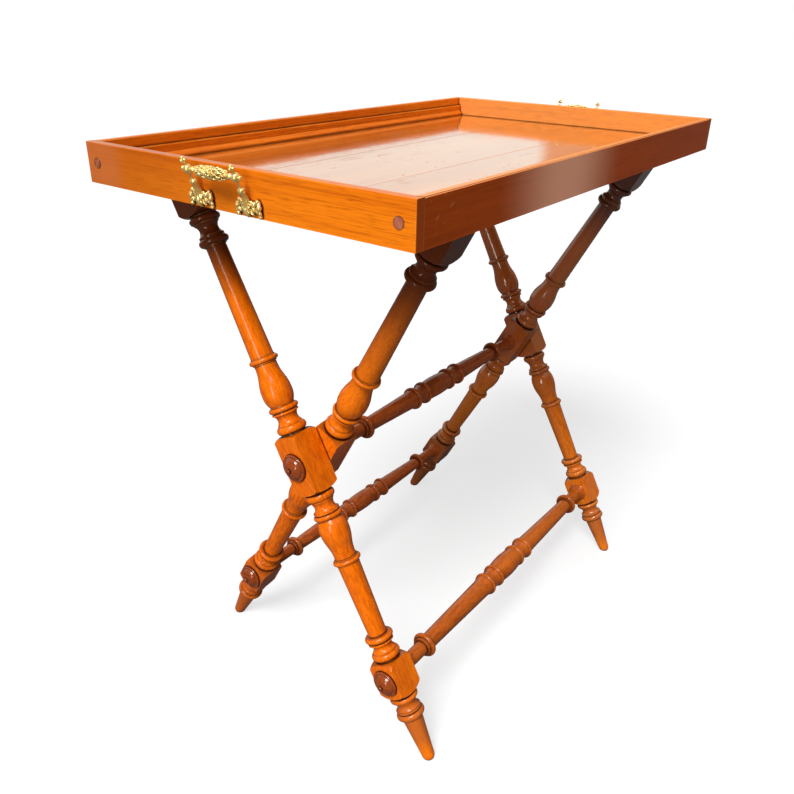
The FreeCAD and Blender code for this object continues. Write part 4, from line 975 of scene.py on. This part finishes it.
    def leaf(self, draft: Draft, ends: list[Vector], up: Vector, width: float, depth: float,
             lobes: int) -> None:
        """Adds a scalloped leaf with a furrow down its middle.

        Args:
            draft: shells that the leaf joins.
            ends: its root, the point that bends it and its tip.
            up: way that its face looks.
            width: half its width.
            depth: half its thickness.
            lobes: scallops along each edge.
        """
        path = bow(*ends, self.leaf_points)
        share = np.linspace(0.0, 1.0, len(path))
        outline = np.sin(math.pi * np.clip(share * 0.93 + 0.05, 0.0, 1.0)) ** 0.75
        scallop = 1.0 - self.leaf_scallop * np.abs(np.sin(math.pi * lobes * share)) * (share < 0.95)
        draft.sweep(path, up, width * outline * scallop, depth * outline ** 0.5, groove=self.leaf_furrow)

    def post(self) -> bpy.types.Mesh:
        """Builds a post: scrolled foot, fluted stem, knop, ball and ear.

        Returns:
            The mesh, at the right end and the back.
        """
        draft = Draft()
        for hand in HANDS:
            self.scroll(draft, hand)
            for steps, width, depth in self.side_leaves:
                self.leaf(draft, [mirrored(self.foot, step, hand) for step in steps], X_AXIS, width, depth, 2)
        steps, width, depth = self.middle_leaf
        self.leaf(draft, [mirrored(self.foot, step, 1) for step in steps], X_AXIS, width, depth, 3)
        self.stem(draft)
        draft.ball(self.ball, self.ball_radius)
        ear = [(0.0013, 0.0), (0.0013, 0.0052), (0.0020, 0.0056), (self.ear_radius, 0.0066),
               (self.ear_radius * 0.94, 0.0076), (0.0014, 0.0084), (0.0002, 0.0086)]
        draft.lathe(self.ball, Y_AXIS, ear)
        return draft.fused("handle_post", self.voxel, self.kept_faces)

    def stem(self, draft: Draft) -> None:
        """Adds the leaning stem between the foot and the ball.

        Args:
            draft: shells of the post.
        """
        length = (self.ball - self.foot).length
        knop = self.knop_at * length
        stem, neck, swell = self.stem_radius, self.neck_radius, self.knop_radius
        lower = [(stem * 0.7, -0.001), (stem, 0.002), (stem * 0.86, 0.006), (neck * 2.1, knop * 0.55),
                 (neck * 1.7, knop * 0.78), (neck * 1.5, knop - 0.0030)]
        upper = [(neck * 2.0, knop - 0.0040), (neck * 2.0, knop - 0.0030), (swell * 0.9, knop - 0.0018),
                 (swell, knop), (swell * 0.9, knop + 0.0018), (neck * 1.3, knop + 0.0032),
                 (neck, knop + 0.0046), (neck, length - 0.0056), (neck * 1.7, length - 0.0044),
                 (neck, length)]
        draft.lathe(self.foot, self.stem_way, lower, flutes=6, flute_depth=0.55, fluted_to=knop * 1.1)
        draft.lathe(self.foot, self.stem_way, upper, flutes=8, flute_depth=0.08, fluted_to=length)

    def grip(self) -> bpy.types.Mesh:
        """Builds the grip: a swelling bar with flowers at its middle, leaves on both halves and end beads.

        Returns:
            The mesh, at the right end.
        """
        draft = Draft()
        half = self.post_y - self.ball_radius
        swell = self.grip_radius - self.grip_end_radius
        core = [(self.grip_end_radius + swell * math.cos(share * math.pi / 2) ** self.grip_fullness,
                 share * (half - self.grip_end_gap)) for share in np.linspace(-1.0, 1.0, 41)]
        draft.lathe(self.heart, Y_AXIS, core)
        for hand in HANDS:
            draft.ball(self.heart + Vector((0.0, hand * (half - self.bead_gap), 0.0)), self.bead_radius)
            draft.lathe(self.heart, Y_AXIS * hand, [(self.pin_radius, half + step) for step in self.pin_span])
            self.leaves(draft, hand)
        self.flowers(draft)
        return draft.fused("handle_grip", self.voxel, self.kept_faces)

    @staticmethod
    def spoke(turn: float) -> Vector:
        """Returns the way out from the grip's axis at a turn about it."""
        return Vector((math.cos(turn), 0.0, math.sin(turn)))

    def leaves(self, draft: Draft, hand: int) -> None:
        """Adds the rows of leaves to one half of the grip, with a berry between each pair of leaves.

        Args:
            draft: shells of the grip.
            hand: half of the grip, -1 or 1.
        """
        for start, stop, low, high, shift in self.leaf_rows:
            for number in range(self.row_leaves):
                out = self.spoke((number + shift) * TURN / self.row_leaves)
                gap = self.spoke((number + shift + 0.5) * TURN / self.row_leaves)
                root = self.heart + out * low + Y_AXIS * hand * start
                bend = self.heart + out * (high + self.row_bulge) + Y_AXIS * hand * (start + stop) / 2
                tip = self.heart + out * high + Y_AXIS * hand * stop
                self.leaf(draft, [root, bend, tip], out, self.row_width * low, self.row_depth, 2)
                berry = self.heart + gap * (low + 0.0004) + Y_AXIS * hand * (start + 0.0030)
                draft.ball(berry, self.berry_radius)

    def flowers(self, draft: Draft) -> None:
        """Adds a ring of flowers round the middle of the grip.

        Args:
            draft: shells of the grip.
        """
        for number in range(self.flower_count):
            out = self.spoke((number + 0.5) * TURN / self.flower_count)
            side = Y_AXIS.cross(out)
            eye = self.heart + out * (self.grip_radius + 0.0004)
            draft.ball(eye + out * 0.0008, self.flower_eye)
            for petal in range(self.petal_count):
                turn = petal * TURN / self.petal_count
                way = Y_AXIS * math.cos(turn) + side * math.sin(turn)
                tip = eye + way * self.petal_length - out * 0.0006
                path = bow(eye, eye + way * (self.petal_length / 2) + out * self.petal_arch, tip)
                outline = np.sin(math.pi * np.linspace(0.12, 0.94, len(path)))
                draft.sweep(path, out, self.petal_width * outline, self.petal_depth * outline,
                            groove=0.5, sides=self.thin_sides)

    def finial(self) -> bpy.types.Mesh:
        """Builds the bud beyond a ball, in line with the stem: a neck, a bead and a ring of small beads.

        Returns:
            The mesh, at the right end and the back.
        """
        draft = Draft()
        draft.lathe(self.ball, self.stem_way, self.bud)
        crown = self.ball + self.stem_way * self.crown_at
        first = self.stem_way.cross(Y_AXIS).normalized()
        for number in range(self.crown_beads):
            turn = number * TURN / self.crown_beads
            out = first * math.cos(turn) + Y_AXIS * math.sin(turn)
            draft.ball(crown + out * self.crown_reach, self.crown_bead)
        return draft.fused("handle_finial", self.voxel, self.kept_faces)

    def screw(self) -> bpy.types.Mesh:
        """Builds a domed screw head with its slot.

        Returns:
            The mesh, in the eye of the outer scroll at the right end and the back.
        """
        rings, sides = 12, 64
        seat = Vector((self.face + 0.0008, self.post_y + self.lobe_y, self.lobe_z))
        shares = np.linspace(0.02, 1.0, rings)[:, None]
        angles = np.arange(sides) * TURN / sides
        across = self.dome_radius * shares * np.cos(angles)
        up = self.dome_radius * shares * np.sin(angles)
        dome = self.dome_rise * (1.0 - 0.75 * shares ** 2) + 0.0004
        out = np.where(np.abs(across - 0.3 * up) < self.slot_half, dome - self.slot_depth, dome)
        skirt = np.stack([np.full(sides, -0.0002), across[-1], up[-1]], axis=1)
        draft = Draft()
        draft.add_rings(np.concatenate([np.stack([out, across, up], axis=2), skirt[None]]) + np.array(seat))
        return draft.raw("handle_screw")

    def put(self, mesh: bpy.types.Mesh, name: str, end: End, copies: tuple[tuple[int, float], ...],
            node: str) -> None:
        """Mirrors copies of a mesh to an end and joins them as one piece.

        Args:
            mesh: mesh at the right end and the back.
            name: name of the piece.
            end: end of the tray.
            copies: sign along Y and shift along Y of each copy.
            node: node that the piece stands for.
        """
        places = np.array([vertex.co for vertex in mesh.vertices])
        outlines = [tuple(polygon.vertices) for polygon in mesh.polygons]
        points, faces = [], []
        for sign, shift in copies:
            base = sum(len(part) for part in points)
            points.append((places + np.array((0.0, shift, 0.0))) * np.array((end.value, sign, 1)))
            step = 1 if end.value * sign > 0 else -1
            faces += [tuple(base + corner for corner in outline)[::step] for outline in outlines]
        copy = new_mesh(name, np.vstack(points), faces)
        copy.shade_smooth()
        copy.materials.append(self.material)
        piece = new_object(name, copy)
        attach(piece, "tray")
        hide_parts(node)
        LOG.info("%s: %d faces, stands for %s", name, len(copy.polygons), node)

    def build(self) -> None:
        """Builds both handles."""
        self.material = self.finish.material()
        post, grip, finial, screw = self.post(), self.grip(), self.finial(), self.screw()
        inner = -2.0 * self.lobe_y
        both = tuple((side.value, 0.0) for side in Side)
        heads = tuple((side.value, shift) for side in Side for shift in (0.0, inner))
        for end in End:
            handle = f"{end.word}_handle"
            for side in Side:
                node = f"{handle}_post_{side.word}"
                self.put(post, f"{node}_cast", end, ((side.value, 0.0),), node)
            self.put(grip, f"{handle}_grip_cast", end, ((1, 0.0),), f"{handle}_grip")
            self.put(finial, f"{handle}_finials_cast", end, both, f"{handle}_finials")
            self.put(screw, f"{handle}_screws_slotted", end, heads, f"{handle}_screws")


def dress(node: str, material: bpy.types.Material) -> None:
    """Gives a node's own object a finish.

    Args:
        node: name of the node.
        material: the finish.
    """
    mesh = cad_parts[node].data
    mesh.materials.clear()
    mesh.materials.append(material)
    LOG.info("%s: %s", node, material.name)


@dataclass
class Tray:
    """The tray: boarded floor, moulded sides, end boards and corner plugs."""

    board_arris: float = 0.0005
    arris_segments: int = 2
    floor: FloorFinish = FLOOR_WOOD
    back: WoodFinish = WALL_WOOD
    front: WoodFinish = FRONT_WOOD
    ends: tuple[WoodFinish, WoodFinish] = (LEFT_END_WOOD, RIGHT_END_WOOD)
    plugs: PlugFinish = PLUG_WOOD

    def plug_finish(self) -> PlugFinish:
        """Returns the finish of the plugs, set out from their places.

        Returns:
            The finish.
        """
        low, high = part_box("corner_plugs")
        radius = (high.z - low.z) / 2
        return replace(self.plugs, centre_y=high.y - radius, centre_z=(low.z + high.z) / 2, radius=radius)

    def build(self) -> None:
        """Dresses every piece of wood in the tray."""
        boards = replace(self.floor, seam=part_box("tray_floor_board_middle")[1].y)
        for number, name in enumerate(("front", "middle", "back"), start=1):
            node = f"tray_floor_board_{name}"
            dress(node, boards.material(X_AXIS, number))
            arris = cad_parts[node].modifiers.new("arris", "BEVEL")
            arris.width = self.board_arris
            arris.segments = self.arris_segments
        dress("tray_side_front", self.front.material(X_AXIS, 4))
        dress("tray_side_back", self.back.material(X_AXIS, 5))
        for number, (end, finish) in enumerate(zip(End, self.ends), start=6):
            dress(f"tray_end_{end.word}", finish.material(Y_AXIS, number))
        dress("corner_plugs", self.plug_finish().material(Y_AXIS, 8))


@dataclass
class Stand:
    """The folding stand: crossed legs, stretchers, top rails and turned caps."""

    first_seed: int = 10
    outer: tuple[WoodFinish, WoodFinish] = (LEG_WOOD, RIGHT_LEG_WOOD)
    inner: tuple[WoodFinish, WoodFinish] = (INNER_LEG_WOOD, INNER_RIGHT_LEG_WOOD)
    front_bar: WoodFinish = FRONT_STRETCHER_WOOD
    bars: WoodFinish = STRETCHER_WOOD
    caps: WoodFinish = CAP_WOOD

    def leg_direction(self, kind: str, stretcher: str) -> Vector:
        """Returns the way up a leg, from the stretcher in its foot block to the pivot.

        Args:
            kind: outer or inner.
            stretcher: node of the stretcher that its foot block holds.

        Returns:
            The way up, of length 1.
        """
        up = middle("pivot_stretcher") - middle(stretcher)
        up.x = 0.0
        LOG.info("%s legs lean %.2f degrees", kind, math.degrees(up.angle(Z_AXIS)))
        return up.normalized()

    def build(self) -> None:
        """Dresses every piece of the stand."""
        seed = self.first_seed
        frames = (("outer", "front_stretcher", self.outer, self.front_bar),
                  ("inner", "back_stretcher", self.inner, self.bars))
        for kind, stretcher, legs, bar in frames:
            up = self.leg_direction(kind, stretcher)
            for end, leg in zip(End, legs):
                dress(f"{kind}_leg_{end.word}", leg.material(up, seed))
                dress(f"{kind}_foot_cap_{end.word}", self.caps.material(Y_AXIS, seed + 1))
                seed += 2
            dress(f"{kind}_top_rail", self.bars.material(X_AXIS, seed))
            dress(stretcher, bar.material(X_AXIS, seed + 1))
            seed += 2
        dress("pivot_stretcher", self.bars.material(X_AXIS, seed))
        for end in End:
            dress(f"pivot_cap_{end.word}", self.caps.material(Y_AXIS, seed + 1 + end.value))


@dataclass
class Studio:
    """Pale floor, soft light and the camera."""

    floor_reach: float = 30.0
    floor_colour: float = 0.14
    floor_seen_colour: float = 0.36
    floor_glow: float = 0.64
    sky_top: float = 0.55
    sky_rim: float = 0.03
    room: Colour = (0.30, 0.13, 0.055)
    beside: Colour = (0.82, 0.37, 0.20)
    backdrop: Colour = (1.0, 0.97, 0.89)
    backdrop_way: Colour = (0.803, 0.596, 0.0)
    backdrop_span: Pair = (-0.05, 0.45)
    backdrop_edge: Colour = (0.452, -0.892, 0.0)
    edge_span: Pair = (0.015, -0.005)
    ceiling_span: Pair = (0.50, 0.90)
    key_strength: float = 3.1
    key_spread: float = 24.0
    key_from: Colour = (-0.60, -0.14, 0.79)
    window_at: Colour = (-2.30, -0.55, 0.85)
    window_towards: Colour = (0.0, 0.0, 0.55)
    window_width: float = 0.15
    window_height: float = 1.10
    window_power: float = 12.0
    camera_at: Colour = (-0.974696, -0.645873, 0.974184)
    azimuth: float = -53.39
    elevation: float = 26.329
    roll: float = 1.08
    lens: float = 34.97
    sensor: float = 36.0

    def build(self) -> None:
        """Makes the floor, the light and the camera."""
        bpy.context.scene.view_settings.view_transform = "Standard"
        self.make_floor()
        self.make_sky()
        self.make_key()
        self.make_window()
        self.make_camera()

    def make_floor(self) -> None:
        """Makes a pale floor that goes white away from the object's shadow, and is clear from below."""
        reach = self.floor_reach
        corners = [(-reach, -reach, 0.0), (reach, -reach, 0.0), (reach, reach, 0.0), (-reach, reach, 0.0)]
        mesh = new_mesh("floor", np.array(corners), [(0, 1, 2, 3)])
        new_object("studio_floor", mesh)
        material = bpy.data.materials.new("studio_floor")
        sheet = NodeSheet(material)
        seen = sheet.add("ShaderNodeLightPath").outputs["Is Camera Ray"]
        pale = sheet.mix(seen, even(self.floor_colour), even(self.floor_seen_colour))
        chalk = sheet.add("ShaderNodeBsdfDiffuse", {"Color": pale})
        glow = sheet.add("ShaderNodeEmission", {"Strength": sheet.times(seen, self.floor_glow)})
        both = sheet.add("ShaderNodeAddShader", {0: chalk.outputs[0], 1: glow.outputs[0]}).outputs[0]
        below = sheet.add("ShaderNodeNewGeometry").outputs["Backfacing"]
        clear = sheet.add("ShaderNodeBsdfTransparent").outputs[0]
        sheet.finish(sheet.add("ShaderNodeMixShader", {0: below, 1: both, 2: clear}))
        mesh.materials.append(material)

    def make_sky(self) -> None:
        """Makes a world that looks white and lights the object softly, most of all from above.

        Shiny surfaces see a pale backdrop behind the object, warmer beside its edge, a pale ceiling and a
        dim warm room elsewhere.
        """
        world = bpy.data.worlds.new("studio")
        bpy.context.scene.world = world
        sheet = NodeSheet(world)
        path = sheet.add("ShaderNodeLightPath").outputs
        seen = sheet.math("MAXIMUM", path["Is Camera Ray"], path["Is Transmission Ray"])
        place = sheet.add("ShaderNodeTexCoord").outputs["Generated"]
        height = sheet.math("MAXIMUM", sheet.along(place, UP), 0.0)
        span = {"Value": height, "To Min": self.sky_rim, "To Max": self.sky_top}
        level = sheet.add("ShaderNodeMapRange", span).outputs[0]
        soft = sheet.add("ShaderNodeBackground", {"Color": WHITE, "Strength": level}).outputs[0]
        behind = sheet.between(sheet.along(place, self.backdrop_way), *self.backdrop_span)
        inside = sheet.between(sheet.along(place, self.backdrop_edge), *self.edge_span)
        shown = sheet.mix(behind, self.room, sheet.mix(inside, self.beside, self.backdrop))
        shown = sheet.mix(sheet.between(height, *self.ceiling_span), shown, self.backdrop)
        glossy = sheet.add("ShaderNodeBackground", {"Color": shown}).outputs[0]
        white = sheet.add("ShaderNodeBackground", {"Color": WHITE}).outputs[0]
        mixed = sheet.add("ShaderNodeMixShader", {0: path["Is Glossy Ray"], 1: soft, 2: glossy}).outputs[0]
        mixed = sheet.add("ShaderNodeMixShader", {0: seen, 1: mixed, 2: white}).outputs[0]
        sheet.add("ShaderNodeOutputWorld", {"Surface": mixed})

    def make_key(self) -> None:
        """Makes the broad soft light from the left."""
        lamp = bpy.data.lights.new("key", "SUN")
        lamp.energy = self.key_strength
        lamp.angle = math.radians(self.key_spread)
        key = new_object("key", lamp)
        key.rotation_euler = Vector(self.key_from).to_track_quat("Z", "Y").to_euler()

    def make_window(self) -> None:
        """Makes the tall narrow light at the left that draws the highlights down the turnings."""
        lamp = bpy.data.lights.new("window", "AREA")
        lamp.shape = "RECTANGLE"
        lamp.size = self.window_width
        lamp.size_y = self.window_height
        lamp.energy = self.window_power
        window = new_object("window", lamp)
        away = Vector(self.window_at) - Vector(self.window_towards)
        facing = away.to_track_quat("Z", "Y").to_matrix().to_4x4()
        window.matrix_world = Matrix.Translation(self.window_at) @ facing
        window.visible_camera = False

    def make_camera(self) -> None:
        """Makes the camera at the photograph's place and angle."""
        turn, tilt, roll = (math.radians(angle) for angle in (self.azimuth, self.elevation, self.roll))
        back = Vector((math.sin(turn) * math.cos(tilt), -math.cos(turn) * math.cos(tilt), math.sin(tilt)))
        right = Z_AXIS.cross(back).normalized()
        up = back.cross(right)
        across = right * math.cos(roll) + up * math.sin(roll)
        above = up * math.cos(roll) - right * math.sin(roll)
        lens = bpy.data.cameras.new("camera")
        lens.sensor_width = self.sensor
        lens.lens = self.lens
        camera = new_object("camera", lens)
        facing = Matrix((across, above, back)).transposed().to_4x4()
        camera.matrix_world = Matrix.Translation(self.camera_at) @ facing
        bpy.context.scene.camera = camera


def main() -> None:
    """Builds the looks in order: tray, handles, stand and studio."""
    logging.basicConfig(level=logging.INFO, format="%(name)s %(message)s")
    Tray().build()
    CastHandle().build()
    Stand().build()
    Studio().build()


if __name__ == "__main__":
    main()
